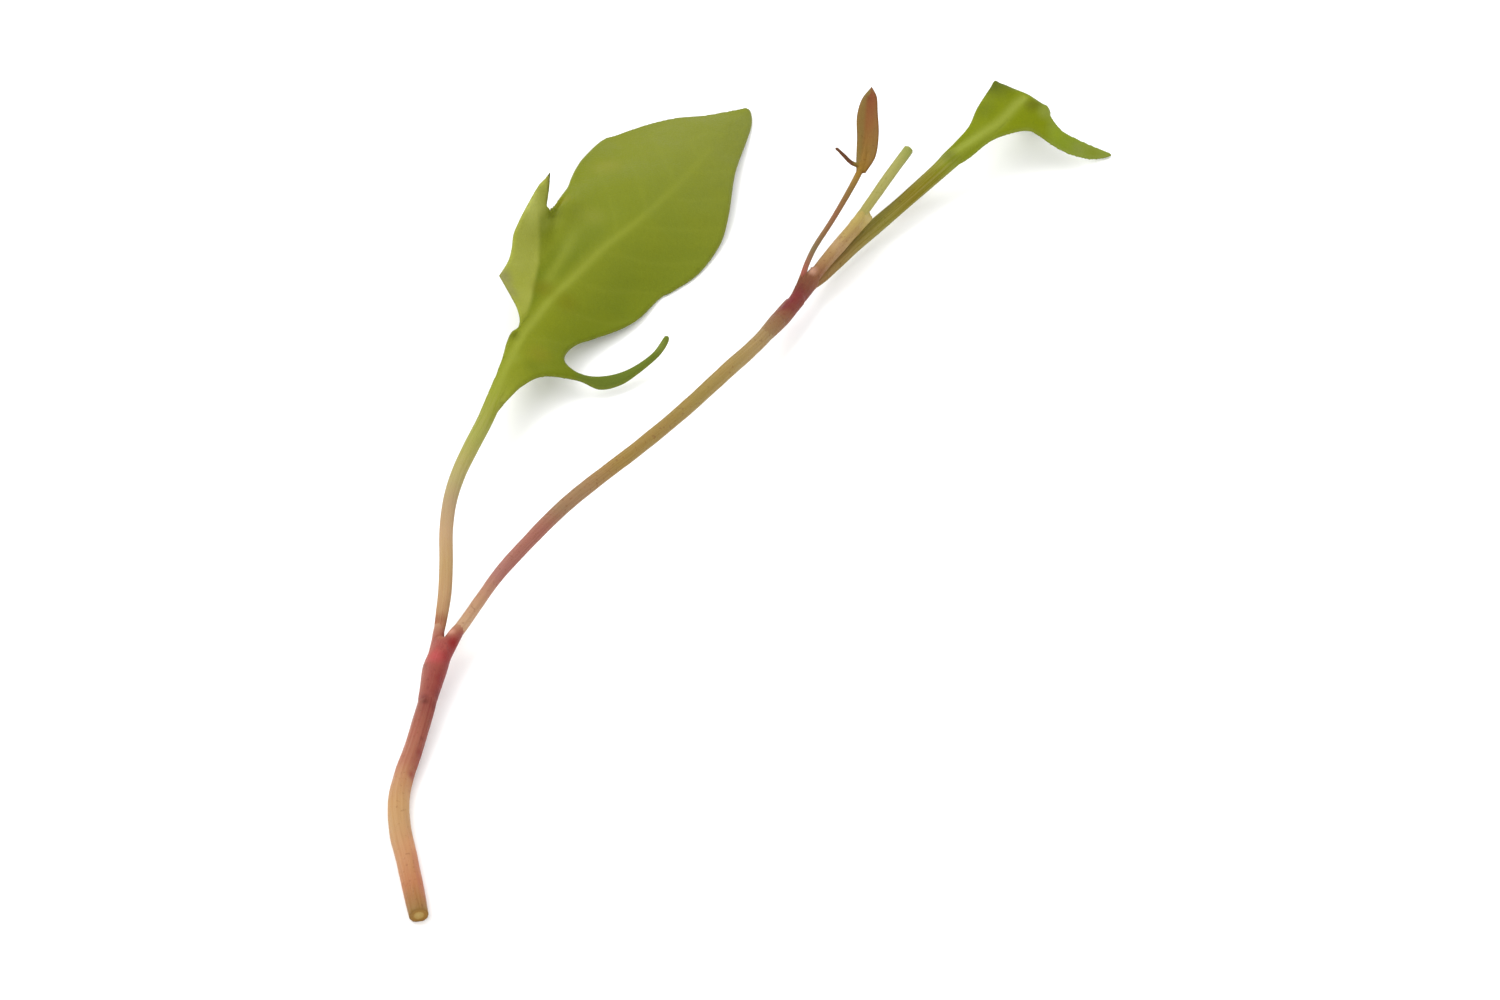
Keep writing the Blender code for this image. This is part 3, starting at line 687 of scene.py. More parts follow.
def stem_tree():
    """Geometry nodes that sweep a ribbed stem along a path, with a cut face and its vessels."""
    inputs = {
        "Path": "NodeSocketGeometry",
        "Sides": STEM_SIDES,
        "Ribs": 9,
        "Rib depth": 0.03,
        "Unevenness": 0.02 * MM,
        "Patch size": 1.5 * MM,
        "Cut face hollow": 0.05 * MM,
        "Vessels": 10,
        "Vessel ring": 0.3 * MM,
        "Vessel radius": 0.05 * MM,
        "Skin": "NodeSocketMaterial",
    }
    outputs = {"Stem": "NodeSocketGeometry"}
    tree, given, result = new_tree("stem swept along its path", "GeometryNodeTree", inputs, outputs)
    girth = geo(tree, "InputNamedAttribute", {"Name": "girth"}, data_type="FLOAT")
    curve = geo(tree, "MeshToCurve", {"Mesh": given["Path"]})
    curve = geo(tree, "SetCurveRadius", {"Curve": curve, "Radius": girth})

    place = geo(tree, "InputPosition")
    circle = geo(tree, "CurvePrimitiveCircle", {"Resolution": given["Sides"], "Radius": 1.0})
    ring = {"Geometry": circle, "Name": "ring", "Value": place}
    circle = geo(tree, "StoreNamedAttribute", ring, data_type="FLOAT_VECTOR", domain="POINT")
    turn = times(tree, geo(tree, "SplineParameter"), given["Ribs"], math.tau)
    rib = times(tree, maths(tree, "COSINE", turn), given["Rib depth"])
    ribbed = scaled(tree, place, maths(tree, "ADD", rib, 1.0))
    circle = geo(tree, "SetPosition", {"Geometry": circle, "Position": ribbed})
    sweep = node(
        tree,
        "GeometryNodeCurveToMesh",
        {"Curve": curve, "Profile Curve": circle, "Fill Caps": True},
    )
    if "Scale" in sweep.inputs:
        tree.links.new(girth, sweep.inputs["Scale"])

    scale = maths(tree, "DIVIDE", 1.0, given["Patch size"])
    patches = node(tree, "ShaderNodeTexNoise", {"Scale": scale, "Detail": 2.0}).outputs[0]
    uneven = times(tree, maths(tree, "SUBTRACT", patches, 0.5), given["Unevenness"])
    share = geo(tree, "InputNamedAttribute", {"Name": "share"}, data_type="FLOAT")
    hollow = times(tree, maths(tree, "SUBTRACT", 1.0, share), given["Cut face hollow"])
    offset = scaled(tree, geo(tree, "InputNormal"), maths(tree, "SUBTRACT", uneven, hollow))
    lifted = geo(tree, "SetPosition", {"Geometry": sweep.outputs["Mesh"], "Offset": offset})
    parts = node(tree, "ShaderNodeSeparateXYZ", {0: geo(tree, "InputPosition")}).outputs
    height = maths(tree, "MAXIMUM", parts["Z"], 0.0)
    above = node(tree, "ShaderNodeCombineXYZ", {"X": parts["X"], "Y": parts["Y"], "Z": height})
    lying = geo(tree, "SetPosition", {"Geometry": lifted, "Position": above.outputs[0]})
    welded = geo(tree, "MergeByDistance", {"Geometry": lying, "Distance": 0.002 * MM})

    vessel = geo(tree, "MeshIcoSphere", {"Radius": given["Vessel radius"], "Subdivisions": 2})
    dots = geo(tree, "MeshCircle", {"Vertices": given["Vessels"], "Radius": given["Vessel ring"]})
    tangent = geo(tree, "InputTangent")
    turned = node(tree, "FunctionNodeAlignRotationToVector", {"Vector": tangent}, axis="Z")
    spots = {
        "Points": geo(tree, "CurveToPoints", {"Curve": curve}, mode="EVALUATED"),
        "Selection": geo(tree, "CurveEndpointSelection", {"Start Size": 1, "End Size": 0}),
        "Instance": geo(tree, "InstanceOnPoints", {"Points": dots, "Instance": vessel}),
        "Rotation": turned.outputs[0],
    }
    joined = node(tree, "GeometryNodeJoinGeometry")
    tree.links.new(welded, joined.inputs[0])
    tree.links.new(geo(tree, "InstanceOnPoints", spots), joined.inputs[0])
    real = geo(tree, "RealizeInstances", {"Geometry": joined.outputs[0]})
    shaded = geo(tree, "SetShadeSmooth", {"Geometry": real})
    finished = geo(tree, "SetMaterial", {"Geometry": shaded, "Material": given["Skin"]})
    tree.links.new(finished, result.inputs[0])
    return tree


def stem_path(name, route):
    """The path that the stem's tree sweeps: the rings of the cut face, then those of the route."""
    rows = smooth(route, RING_GAP)
    back = rows[0, :3] - rows[1, :3]
    back /= np.linalg.norm(back)
    shares = np.append(CUT_FACE_SHARES, np.ones(len(rows)))
    steps = CUT_FACE_STEP * np.arange(len(CUT_FACE_SHARES), 0, -1)
    face = rows[0, :3] + steps[:, None] * back
    points = np.vstack([face, rows[:, :3]])
    girth = shares * np.append(np.full(len(face), rows[0, 3]), rows[:, 3])
    along = np.append(np.zeros(len(face)), lengths(rows))
    mesh = bpy.data.meshes.new(name)
    links = [(index, index + 1) for index in range(len(points) - 1)]
    mesh.from_pydata(((points + PLAN_SHIFT) * MM).tolist(), links, [])
    for label, values in (("girth", girth * MM), ("along", along), ("share", shares)):
        layer = mesh.attributes.new(label, "FLOAT", "POINT")
        layer.data.foreach_set("value", values.astype(np.float32))
    return mesh


def grown(name, path, tree, form):
    """The plain mesh that a tree makes from a path, as an object."""
    obj = placed(name, path)
    modifier = obj.modifiers.new(tree.name, "NODES")
    modifier.node_group = tree
    for item in tree.interface.items_tree:
        if item.name in form:
            modifier[item.identifier] = form[item.name]
    depsgraph = bpy.context.evaluated_depsgraph_get()
    made = bpy.data.meshes.new_from_object(
        obj.evaluated_get(depsgraph), preserve_all_data_layers=True, depsgraph=depsgraph
    )
    obj.modifiers.clear()
    obj.data = made
    made.name = name
    return obj


def linear(colour):
    """A surface's own colour, as Blender's linear one, from how it looks under this light.

    The look is in screen values from 0 to 255.
    """
    shares = [value / 255 for value in colour]
    seen = [s / 12.92 if s <= 0.04045 else ((s + 0.055) / 1.055) ** 2.4 for s in shares]
    return tuple(OWN_SHARE * max(value - HAZE, 0.0) for value in seen) + (1.0,)


def fact(tree, label, output="Fac"):
    """A value that the mesh keeps at its points."""
    return node(tree, "ShaderNodeAttribute", attribute_name=label).outputs[output]


def blended(tree, share, one, other):
    """Two colours mixed; each is a socket or a colour in screen values."""
    colours = [c if isinstance(c, bpy.types.NodeSocket) else linear(c) for c in (one, other)]
    inputs = {0: share, 6: colours[0], 7: colours[1]}
    return node(tree, "ShaderNodeMix", inputs, data_type="RGBA").outputs[2]


def ramp(tree, value, stops):
    """A colour that changes along value, from (place, colour) stops."""
    low, high = stops[0][0], stops[-1][0]
    share = node(tree, "ShaderNodeMapRange", {0: value, 1: low, 2: high}).outputs[0]
    made = node(tree, "ShaderNodeValToRGB", {"Fac": share})
    elements = made.color_ramp.elements
    while len(elements) < len(stops):
        elements.new(1.0)
    for element, (place, colour) in zip(elements, stops):
        element.position = (place - low) / (high - low)
        element.color = linear(colour)
    return made.outputs["Color"]


def rise(tree, value, start, end, low=0.0, high=1.0):
    """A smooth turn from low, where value is start, to high, where it is end."""
    made = node(
        tree,
        "ShaderNodeMapRange",
        {0: value, 1: start, 2: end, 3: low, 4: high},
        interpolation_type="SMOOTHSTEP",
    )
    return made.outputs[0]


def times(tree, *values):
    """Masks multiplied together."""
    product = values[0]
    for value in values[1:]:
        product = maths(tree, "MULTIPLY", product, value)
    return product


def flipped(tree, mask):
    """1 where a mask is 0, and 0 where it is 1."""
    return maths(tree, "SUBTRACT", 1.0, mask)


def layered(tree, colour, layers):
    """A colour with others over it in turn: the look of each, then its masks and its share."""
    for look, *masks in layers:
        colour = blended(tree, times(tree, *masks), colour, look)
    return colour


def millimetres(tree):
    """The place on the shoot, in millimetres."""
    return scaled(tree, node(tree, "ShaderNodeTexCoord").outputs["Object"], 1 / MM)


def near(tree, place, reach):
    """1 at a place, given in route millimetres, and 0 beyond its reach."""
    spot = Vector(place) + Vector(PLAN_SHIFT)
    gap = node(tree, "ShaderNodeVectorMath", {0: millimetres(tree), 1: spot}, operation="DISTANCE")
    return rise(tree, gap.outputs["Value"], reach, 0.0)


def spotted(tree, colour, spots):
    """A colour with soft spots: (place, reach, share, spot colour)."""
    for place, reach, share, spot_colour in spots:
        colour = blended(tree, times(tree, near(tree, place, reach), share), colour, spot_colour)
    return colour


def facing(tree, side):
    """1 on the skin that faces right (side 1) or left (side -1), 0 on the rest."""
    normal = node(tree, "ShaderNodeTexCoord").outputs["Normal"]
    across = node(tree, "ShaderNodeSeparateXYZ", {0: normal}).outputs["X"]
    return rise(tree, across, 0.1 * side, 0.95 * side)


def skin_group(name, inputs, *outputs):
    return new_tree(name, "ShaderNodeTree", inputs, dict.fromkeys(outputs, SOCKETS[float]))


def fibre_group():
    """Fine streaks that run along a stem or petiole."""
    inputs = {"Strands": 6.0, "Strand length": 5.0}
    tree, given, result = skin_group("lengthwise fibres", inputs, "Streak", "Height")
    ring = node(tree, "ShaderNodeSeparateXYZ", {0: fact(tree, "ring", "Vector")}).outputs
    place = {
        "X": times(tree, ring["X"], given["Strands"]),
        "Y": times(tree, ring["Y"], given["Strands"]),
        "Z": maths(tree, "DIVIDE", fact(tree, "along"), given["Strand length"]),
    }
    vector = node(tree, "ShaderNodeCombineXYZ", place).outputs[0]
    texture = {"Vector": vector, "Scale": 1.0, "Detail": 4.0, "Roughness": 0.6}
    noise = node(tree, "ShaderNodeTexNoise", texture).outputs[0]
    tree.links.new(rise(tree, noise, 0.34, 0.66), result.inputs["Streak"])
    tree.links.new(noise, result.inputs["Height"])
    return tree


def cloud(tree, size, detail):
    """Noise on the shoot with forms of this size."""
    scale = maths(tree, "DIVIDE", 1.0, size)
    texture = {"Vector": millimetres(tree), "Scale": scale, "Detail": detail}
    return node(tree, "ShaderNodeTexNoise", texture).outputs[0]


def patch_group():
    """Soft cloudy patches and small dark freckles, as on any living skin."""
    inputs = {"Patch size": 2.0, "Freckle size": 0.25, "Freckle share": 0.3}
    tree, given, result = skin_group("patches and freckles", inputs, "Patch", "Freckle")
    patches = cloud(tree, given["Patch size"], 3.0)
    freckles = cloud(tree, given["Freckle size"], 1.0)
    limit = maths(tree, "SUBTRACT", 0.72, times(tree, given["Freckle share"], 0.25))
    over = maths(tree, "SUBTRACT", freckles, limit)
    tree.links.new(rise(tree, patches, 0.3, 0.7), result.inputs["Patch"])
    tree.links.new(maths(tree, "MULTIPLY", over, 10.0, clamp=True), result.inputs["Freckle"])
    return tree


def cell_group():
    """The fine pebbled relief of a leaf's or stem's outer cells."""
    tree, given, result = skin_group("outer cells", {"Cell size": 0.12}, "Height", "Tone")
    scale = maths(tree, "DIVIDE", 1.0, given["Cell size"])
    texture = {"Vector": millimetres(tree), "Scale": scale}
    cells = node(tree, "ShaderNodeTexVoronoi", texture, feature="F1").outputs
    tone = node(tree, "ShaderNodeSeparateXYZ", {0: cells["Color"]}).outputs["X"]
    tree.links.new(flipped(tree, cells["Distance"]), result.inputs["Height"])
    tree.links.new(tone, result.inputs["Tone"])
    return tree


def finish_skin(material, colour, heights, roughness, relief, gloss):
    """Feeds the colour, the roughness and the stacked reliefs to the material's shader."""
    tree = material.node_tree
    shader = tree.nodes["Principled BSDF"]
    tree.links.new(colour, shader.inputs["Base Color"])
    low, high, share = roughness
    tree.links.new(rise(tree, share, 0, 1, low, high), shader.inputs["Roughness"])
    normal = None
    for height, strength in heights:
        inputs = {"Height": height, "Strength": strength, "Distance": relief * MM}
        bump = node(tree, "ShaderNodeBump", inputs)
        if normal:
            tree.links.new(normal, bump.inputs["Normal"])
        normal = bump.outputs["Normal"]
    tree.links.new(normal, shader.inputs["Normal"])
    shader.inputs["Specular IOR Level"].default_value = gloss
    shader.inputs["Subsurface Weight"].default_value = 0.10
    shader.inputs["Subsurface Radius"].default_value = (0.5, 0.4, 0.15)
    shader.inputs["Subsurface Scale"].default_value = 0.6 * MM
    return material


def blank(name):
    material = bpy.data.materials.new(name)
    material.use_nodes = True
    return material


def skin_groups(tree, **scales):
    """Fibres, patches and cells of these sizes, placed in a material: the outputs of each."""
    groups = [node(tree, "ShaderNodeGroup", node_tree=group) for group in (FIBRES, PATCHES, CELLS)]
    for made in groups:
        for socket in made.inputs:
            socket.default_value = scales[socket.name.lower().replace(" ", "_")]
    return [made.outputs for made in groups]


def stem_skin(name, stops, face_stops, streak_dark, streak_light, mottles, blushes_and_side_light=(), spots=()):
    """A stem's skin: its colours along it, fibres, freckles, and the cut face with its pith."""
    material = blank(name)
    tree = material.node_tree
    fibres, patches, cells = skin_groups(
        tree,
        strands=5.0,
        strand_length=4.0,
        patch_size=1.6,
        freckle_size=0.22,
        freckle_share=0.35,
        cell_size=0.09,
    )
    along = fact(tree, "along")
    layers = []
    # tints by the side the skin faces: the deep red on the right below the node is partly the stem's
    # own red and partly painted shade, the pale tint on the left is painted light
    for start, full, end, side, strength, tint in blushes_and_side_light:
        ends = (rise(tree, along, start, full), rise(tree, along, end + 3, end))
        layers.append((tint, *ends, facing(tree, side), strength))
    layers += [
        (mottles[0][1], patches["Patch"], mottles[0][0]),
        (mottles[1][1], flipped(tree, patches["Patch"]), mottles[1][0]),
        (streak_light, fibres["Streak"], 0.08),
        (streak_dark, flipped(tree, fibres["Streak"]), 0.10),
        (streak_dark, patches["Freckle"], 0.35),
    ]
    colour = layered(tree, ramp(tree, along, stops), layers)
    colour = spotted(tree, colour, spots)
    share = fact(tree, "share")
    on_face = rise(tree, share, 0.999, 0.93)
    colour = blended(tree, on_face, colour, ramp(tree, share, face_stops))
    heights = [(fibres["Height"], 0.35), (cells["Height"], 0.2)]
    roughness = (0.42, 0.6, patches["Patch"])
    return finish_skin(material, colour, heights, roughness, relief=0.06, gloss=0.2)


def leaf_skin(name, stops, finish):
    """A leaf's skin: colours along its midrib, then the finish's own blade, veins and lobes."""
    material = blank(name)
    tree = material.node_tree
    fibres, spots, cells = skin_groups(
        tree,
        strands=5.0,
        strand_length=4.0,
        patch_size=2.2,
        freckle_size=0.3,
        freckle_share=0.2,
        cell_size=0.11,
    )
    colour = ramp(tree, fact(tree, "along"), stops)
    colour, on_blade = finish(tree, colour, spots, cells)
    on_petiole = flipped(tree, on_blade)
    colour = layered(tree, colour, [((222, 205, 150), fibres["Streak"], on_petiole, 0.16)])
    heights = [
        (times(tree, fibres["Height"], on_petiole), 0.4),
        (cells["Height"], 0.25),
        (spots["Patch"], 0.3),
    ]
    roughness = (0.55, 0.7, spots["Patch"])
    return finish_skin(material, colour, heights, roughness, relief=0.07, gloss=0.10)


def point_facts(tree, *labels):
    return [fact(tree, label) for label in labels]


def large_blade(tree, colour, spots, cells):
    """The large blade's greens, with painted shade on its right half, painted light on its left half
    and folded lobe, its pale midrib and its curved lobe.
    """
    along, across, edge = point_facts(tree, "along", "across", "edge")
    lobe, vein, under = point_facts(tree, "lobe", "vein", "under")
    on_blade = rise(tree, along, 17.0, 21.5)
    right = rise(tree, across, -0.4, -3.0)
    lower = rise(tree, along, 42.0, 25.0)
    left = rise(tree, across, 0.8, 5.0)
    wedge = [rise(tree, across, 0.3, 0.9), rise(tree, across, 2.6, 1.5)]
    wedge += [rise(tree, along, 23, 27), rise(tree, along, 37, 30)]
    folded = rise(tree, lobe, 0.05, 0.95)
    pale = blended(tree, spots["Patch"], (170, 175, 74), (178, 182, 88))
    curved = rise(tree, lobe, -0.1, -0.9)
    layers = [
        # painted shade darkens the right half and painted light brightens the left half, as light from
        # the upper left falls on the blade
        ((110, 123, 27), right, lower, on_blade, 0.75),
        ((140, 147, 50), left, on_blade, 0.4),
        ((112, 126, 28), *wedge, 0.75),
        ((148, 154, 56), spots["Patch"], on_blade, 0.18),
        ((104, 116, 22), cells["Tone"], on_blade, 0.10),
        ((112, 120, 32), spots["Freckle"], on_blade, 0.12),
        # the folded lobe's pale yellow-green is partly its own and partly painted light
        (pale, folded, 0.9),
        ((112, 128, 62), curved, 0.7),
        ((164, 172, 72), vein, 0.7),
    ]
    colour = spotted(tree, layered(tree, colour, layers), LARGE_SPOTS)
    layers = [
        # a paler rim along the margin, partly painted highlight where the thin edge catches the light
        ((156, 163, 80), rise(tree, edge, 0.14, 0.02), on_blade, 0.3),
        ((160, 170, 112), under, 0.35),
    ]
    return layered(tree, colour, layers), on_blade


def folded_blade(tree, colour, spots, cells):
    """The folded blade's fresh green, with painted shade at the corners of its fold and a pale midrib.
    """
    along, edge, lobe, vein, under = point_facts(tree, "along", "edge", "lobe", "vein", "under")
    on_blade = rise(tree, along, 11.5, 14.5)
    grey = blended(tree, spots["Patch"], (142, 160, 52), (150, 162, 78))
    layers = [
        ((112, 88, 42), spots["Freckle"], flipped(tree, on_blade), 0.5),
        ((146, 158, 44), spots["Patch"], on_blade, 0.15),
        # painted shade at the corners where the blade turns over at its fold
        ((104, 112, 22), rise(tree, lobe, -0.1, -0.9), 0.75),
        (grey, rise(tree, lobe, 0.1, 0.9), 0.85),
        ((104, 124, 18), cells["Tone"], on_blade, 0.10),
        ((166, 176, 78), vein, rise(tree, lobe, 0.5, 0.1), 0.75),
    ]
    colour = spotted(tree, layered(tree, colour, layers), FOLDED_SPOTS)
    layers = [
        ((158, 168, 86), rise(tree, edge, 0.12, 0.02), on_blade, 0.3),
        ((158, 170, 110), under, 0.3),
    ]
    return layered(tree, colour, layers), on_blade


def small_blade(tree, colour, spots, cells):
    """The young leaf's brown-red blade with an olive left half."""
    along, across, edge, lobe = point_facts(tree, "along", "across", "edge", "lobe")
    on_blade = rise(tree, along, 7.8, 9.0)
    layers = [
        ((140, 128, 76), rise(tree, across, 0.05, 0.35), on_blade, 0.75),
        ((140, 112, 72), rise(tree, across, -0.2, -0.5), on_blade, 0.5),
        ((162, 108, 64), spots["Patch"], on_blade, 0.25),
        ((112, 66, 46), spots["Freckle"], 0.3),
        ((118, 80, 36), cells["Tone"], on_blade, 0.10),
        ((108, 72, 62), rise(tree, lobe, 0.1, 0.9), 0.85),
        ((132, 82, 54), rise(tree, edge, 0.1, 0.02), on_blade, 0.35),
    ]
    return layered(tree, colour, layers), on_blade


def sheath_membrane(name, stops, right_colour, right_share, patch_and_lit_side_colour, left_share, spots):
    """A sheath's papery skin: colours by how far up the shoot, a deeper right side that is partly
    painted shade, a paler left side that is painted light, wrinkles.
    """
    material = blank(name)
    tree = material.node_tree
    fibres, patches, cells = skin_groups(
        tree,
        strands=7.0,
        strand_length=2.0,
        patch_size=0.8,
        freckle_size=0.18,
        freckle_share=0.5,
        cell_size=0.08,
    )
    up = node(tree, "ShaderNodeSeparateXYZ", {0: millimetres(tree)}).outputs["Y"]
    low, high = stops[0][0], stops[-1][0]
    body = times(tree, rise(tree, up, low, low + 2), rise(tree, up, high, high - 2))
    layers = [
        # a darker right side, partly painted shade, and a paler left side, painted light
        (right_colour, facing(tree, 1), body, right_share),
        (patch_and_lit_side_colour, facing(tree, -1), body, left_share),
        (patch_and_lit_side_colour, patches["Patch"], 0.14),
        (right_colour, flipped(tree, fibres["Streak"]), body, 0.2),
        ((120, 52, 50), patches["Freckle"], body, 0.3),
    ]
    colour = spotted(tree, layered(tree, ramp(tree, up, stops), layers), spots)
    heights = [(fibres["Height"], 0.6), (cells["Height"], 0.2)]
    roughness = (0.38, 0.58, patches["Patch"])
    return finish_skin(material, colour, heights, roughness, relief=0.07, gloss=0.22)


def table_top():
    material = blank("pale table")
    tree = material.node_tree
    shader = tree.nodes["Principled BSDF"]
    texture = {"Vector": millimetres(tree), "Scale": 0.4, "Detail": 4.0}
    grain = node(tree, "ShaderNodeTexNoise", texture)
    tone = node(tree, "ShaderNodeMapRange", {0: grain.outputs[0], 3: 0.95, 4: 0.97}).outputs[0]
    tree.links.new(tone, shader.inputs["Base Color"])
    shader.inputs["Roughness"].default_value = 0.9
    shader.inputs["Specular IOR Level"].default_value = 0.1
    return material


# Marks of the skins, some of them painted light or shade: place on the routes, reach, share and look
LARGE_SPOTS = [
    ((-14.4, 14.5, 3.85), 1.1, 0.8, (150, 146, 100)),
    ((-13.95, 13.6, 3.45), 0.9, 0.6, (152, 148, 98)),
    # (-13.75, 10.8): painted shade, a dark patch on the left margin near the base
    ((-13.75, 10.8, 2.6), 0.7, 0.55, (108, 114, 44)), ((-13.7, 9.0, 2.5), 0.8, 0.4, (156, 164, 66)),
    # (-12.8, 20.2): painted light on the steep folded lobe
    ((-12.8, 20.2, 4.2), 2.0, 0.85, (200, 205, 110)),
    ((-11.95, 22.1, 4.5), 0.7, 0.6, (142, 134, 58)),
    # (-11.75, 20.4): painted light under the notch, where the blade lies in shade
    ((-11.75, 20.4, 2.8), 1.2, 0.6, (152, 160, 68)), ((-9.2, 21.2, 2.2), 1.3, 0.35, (156, 160, 72)),
    ((-8.6, 27.5, 1.3), 2.6, 0.45, (132, 140, 44)), ((-11.0, 22.4, 2.45), 0.8, 0.7, (142, 140, 30)),
    ((-12.1, 14.8, 2.65), 1.1, 0.6, (126, 124, 34)), ((-10.6, 14.0, 2.3), 1.2, 0.5, (128, 128, 34)),
    ((-12.2, 9.6, 2.4), 1.2, 0.5, (140, 136, 50)), ((-8.4, 26.3, 1.6), 1.6, 0.5, (152, 153, 68)),
    ((-12.6, 8.5, 2.3), 0.9, 0.4, (112, 122, 24)), ((-5.2, 11.2, 1.5), 0.8, 0.5, (152, 162, 88)),
]
FOLDED_SPOTS = [
    # (15.0, 30.7) and (16.85, 29.5): painted shade where the blade turns over at its fold
    ((15.0, 30.7, 3.7), 1.4, 0.9, (96, 106, 10)), ((14.1, 29.3, 3.3), 1.0, 0.55, (112, 124, 20)),
    ((11.9, 26.4, 2.3), 0.8, 0.6, (106, 116, 26)), ((16.85, 29.5, 3.4), 0.75, 0.85, (104, 108, 16)),
    ((17.55, 29.25, 3.1), 0.75, 0.75, (158, 168, 98)),
    ((18.3, 28.3, 2.4), 0.7, 0.5, (150, 168, 46)), ((19.6, 28.1, 1.3), 0.6, 0.4, (144, 154, 84)),
    ((20.7, 28.2, 0.8), 0.9, 0.5, (136, 146, 36)),
]
STEM_SPOTS = [
    ((-18.26, -17.75, 1.5), 0.32, 0.7, (106, 52, 44)),
    ((-17.7, -17.9, 1.2), 0.5, 0.6, (120, 46, 44)),
    ((-18.32, -20.3, 1.2), 0.26, 0.6, (114, 56, 46)),
    ((-18.92, -22.8, 0.8), 0.5, 0.7, (150, 60, 54)),
    ((-18.5, -21.2, 0.9), 0.45, 0.6, (140, 52, 50)),
    ((-18.6, -28.2, 1.0), 1.0, 0.5, (216, 156, 112)),
]
LOWER_SHEATH_SPOTS = [
    ((-17.75, -14.7, 2.0), 0.8, 0.75, (200, 86, 86)),
    ((-16.74, -13.5, 1.9), 0.65, 0.85, (148, 34, 40)),
    ((-17.1, -14.6, 1.8), 0.5, 0.6, (156, 48, 50)), ((-17.5, -13.1, 2.0), 0.4, 0.7, (178, 112, 84)),
    ((-16.85, -12.7, 1.9), 0.35, 0.8, (232, 172, 148)),
    ((-18.25, -15.2, 1.7), 0.32, 0.7, (132, 78, 62)),
    ((-18.26, -17.5, 1.5), 0.4, 0.6, (112, 52, 46)),
    ((-17.66, -17.0, 1.2), 0.6, 0.7, (122, 44, 42)),
]
UPPER_SHEATH_SPOTS = [
    ((3.68, 17.0, 1.9), 0.5, 0.85, (226, 176, 150)), ((6.9, 21.3, 2.05), 0.5, 0.6, (212, 192, 140)),
    ((5.0, 18.9, 2.1), 0.9, 0.5, (208, 168, 132)), ((2.4, 14.75, 1.7), 0.7, 0.5, (136, 44, 52)),
]

FIBRES = fibre_group()
PATCHES = patch_group()
CELLS = cell_group()
STEM_TREE = stem_tree()


def dressed(obj, node_name, material=None):
    """Gives a finished piece its material and its body, and hides the solid that it stands for."""
    if material:
        obj.data.materials.clear()
        obj.data.materials.append(material)
    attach(obj, BODY)
    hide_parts(node_name)
    return obj


def make_stem():
    stops = [
        (0.0, (150, 115, 60)), (1.0, (172, 118, 70)), (2.0, (192, 126, 84)), (4.0, (204, 146, 102)),
        (6.0, (202, 156, 108)), (8.3, (203, 158, 106)), (10.3, (199, 144, 104)),
        (11.5, (180, 112, 90)), (13.2, (172, 98, 82)), (14.6, (156, 78, 68)), (15.8, (134, 50, 52)),
        (17.2, (134, 52, 52)), (18.5, (150, 68, 62)), (20.6, (170, 88, 76)),
        (21.8, (206, 166, 130)), (24.0, (195, 148, 116)), (26.0, (178, 122, 114)),
        (28.0, (174, 112, 102)), (30.0, (170, 110, 98)), (32.0, (158, 126, 94)),
        (34.0, (164, 130, 92)), (37.0, (162, 134, 68)), (41.0, (163, 138, 74)),
        (44.0, (162, 140, 72)), (47.0, (168, 144, 80)), (50.0, (172, 147, 94)),
        (52.0, (160, 130, 88)), (53.5, (150, 104, 76)), (55.0, (134, 66, 60)),
    ]
    face = [
        (0.0, (196, 168, 104)), (0.45, (186, 152, 88)), (0.62, (160, 118, 58)),
        (0.85, (158, 120, 64)), (1.0, (140, 100, 54)),
    ]
    # the deep red right side below the node is partly its own red and partly painted shade; the pale
    # left side is painted light
    blushes_and_side_light = [
        (9.0, 12.5, 19.0, 1, 0.7, (138, 46, 48)), (9.0, 12.0, 17.5, -1, 0.3, (200, 140, 116)),
        (0.3, 1.5, 4.0, 1, 0.45, (190, 96, 78)), (24.0, 27.0, 30.0, 1, 0.35, (160, 88, 84)),
    ]
    mottles = [(0.08, (196, 136, 110)), (0.07, (148, 130, 70))]
    skin = stem_skin(
        "tan and red stem", stops, face, (128, 78, 52), (226, 196, 156), mottles, blushes_and_side_light, STEM_SPOTS
    )
    path = stem_path("main_stem_path", LOWER_STEM + NODE_STEM + UPPER_STEM)
    form = {
        "Ribs": 11,
        "Rib depth": 0.018,
        "Unevenness": 0.07 * MM,
        "Patch size": 2.0 * MM,
        "Cut face hollow": 0.08 * MM,
        "Vessels": 11,
        "Vessel ring": 0.36 * MM,
        "Vessel radius": 0.05 * MM,
        "Skin": skin,
    }
    return dressed(grown("stem", path, STEM_TREE, form), "main_stem")


def make_cut_petiole():
    stops = [
        (0.0, (156, 164, 84)), (0.5, (164, 170, 88)), (1.2, (178, 176, 100)),
        (3.0, (182, 176, 104)), (5.0, (180, 170, 98)), (6.2, (180, 164, 96)), (7.0, (182, 164, 98)),
    ]
    face = [
        (0.0, (196, 198, 130)), (0.6, (178, 182, 104)), (1.0, (160, 168, 88)),
    ]
    mottles = [(0.2, (192, 184, 118)), (0.2, (158, 158, 70))]
    skin = stem_skin("pale cut petiole", stops, face, (136, 138, 60), (206, 202, 140), mottles)
    path = stem_path("cut_petiole_path", CUT_PETIOLE[::-1])
    form = {
        "Ribs": 7,
        "Rib depth": 0.03,
        "Unevenness": 0.05 * MM,
        "Patch size": 1.2 * MM,
        "Cut face hollow": 0.04 * MM,
        "Vessels": 7,
        "Vessel ring": 0.2 * MM,
        "Vessel radius": 0.035 * MM,
        "Skin": skin,
    }
    petiole = grown("short_cut_petiole", path, STEM_TREE, form)
    return dressed(petiole, "cut_petiole")


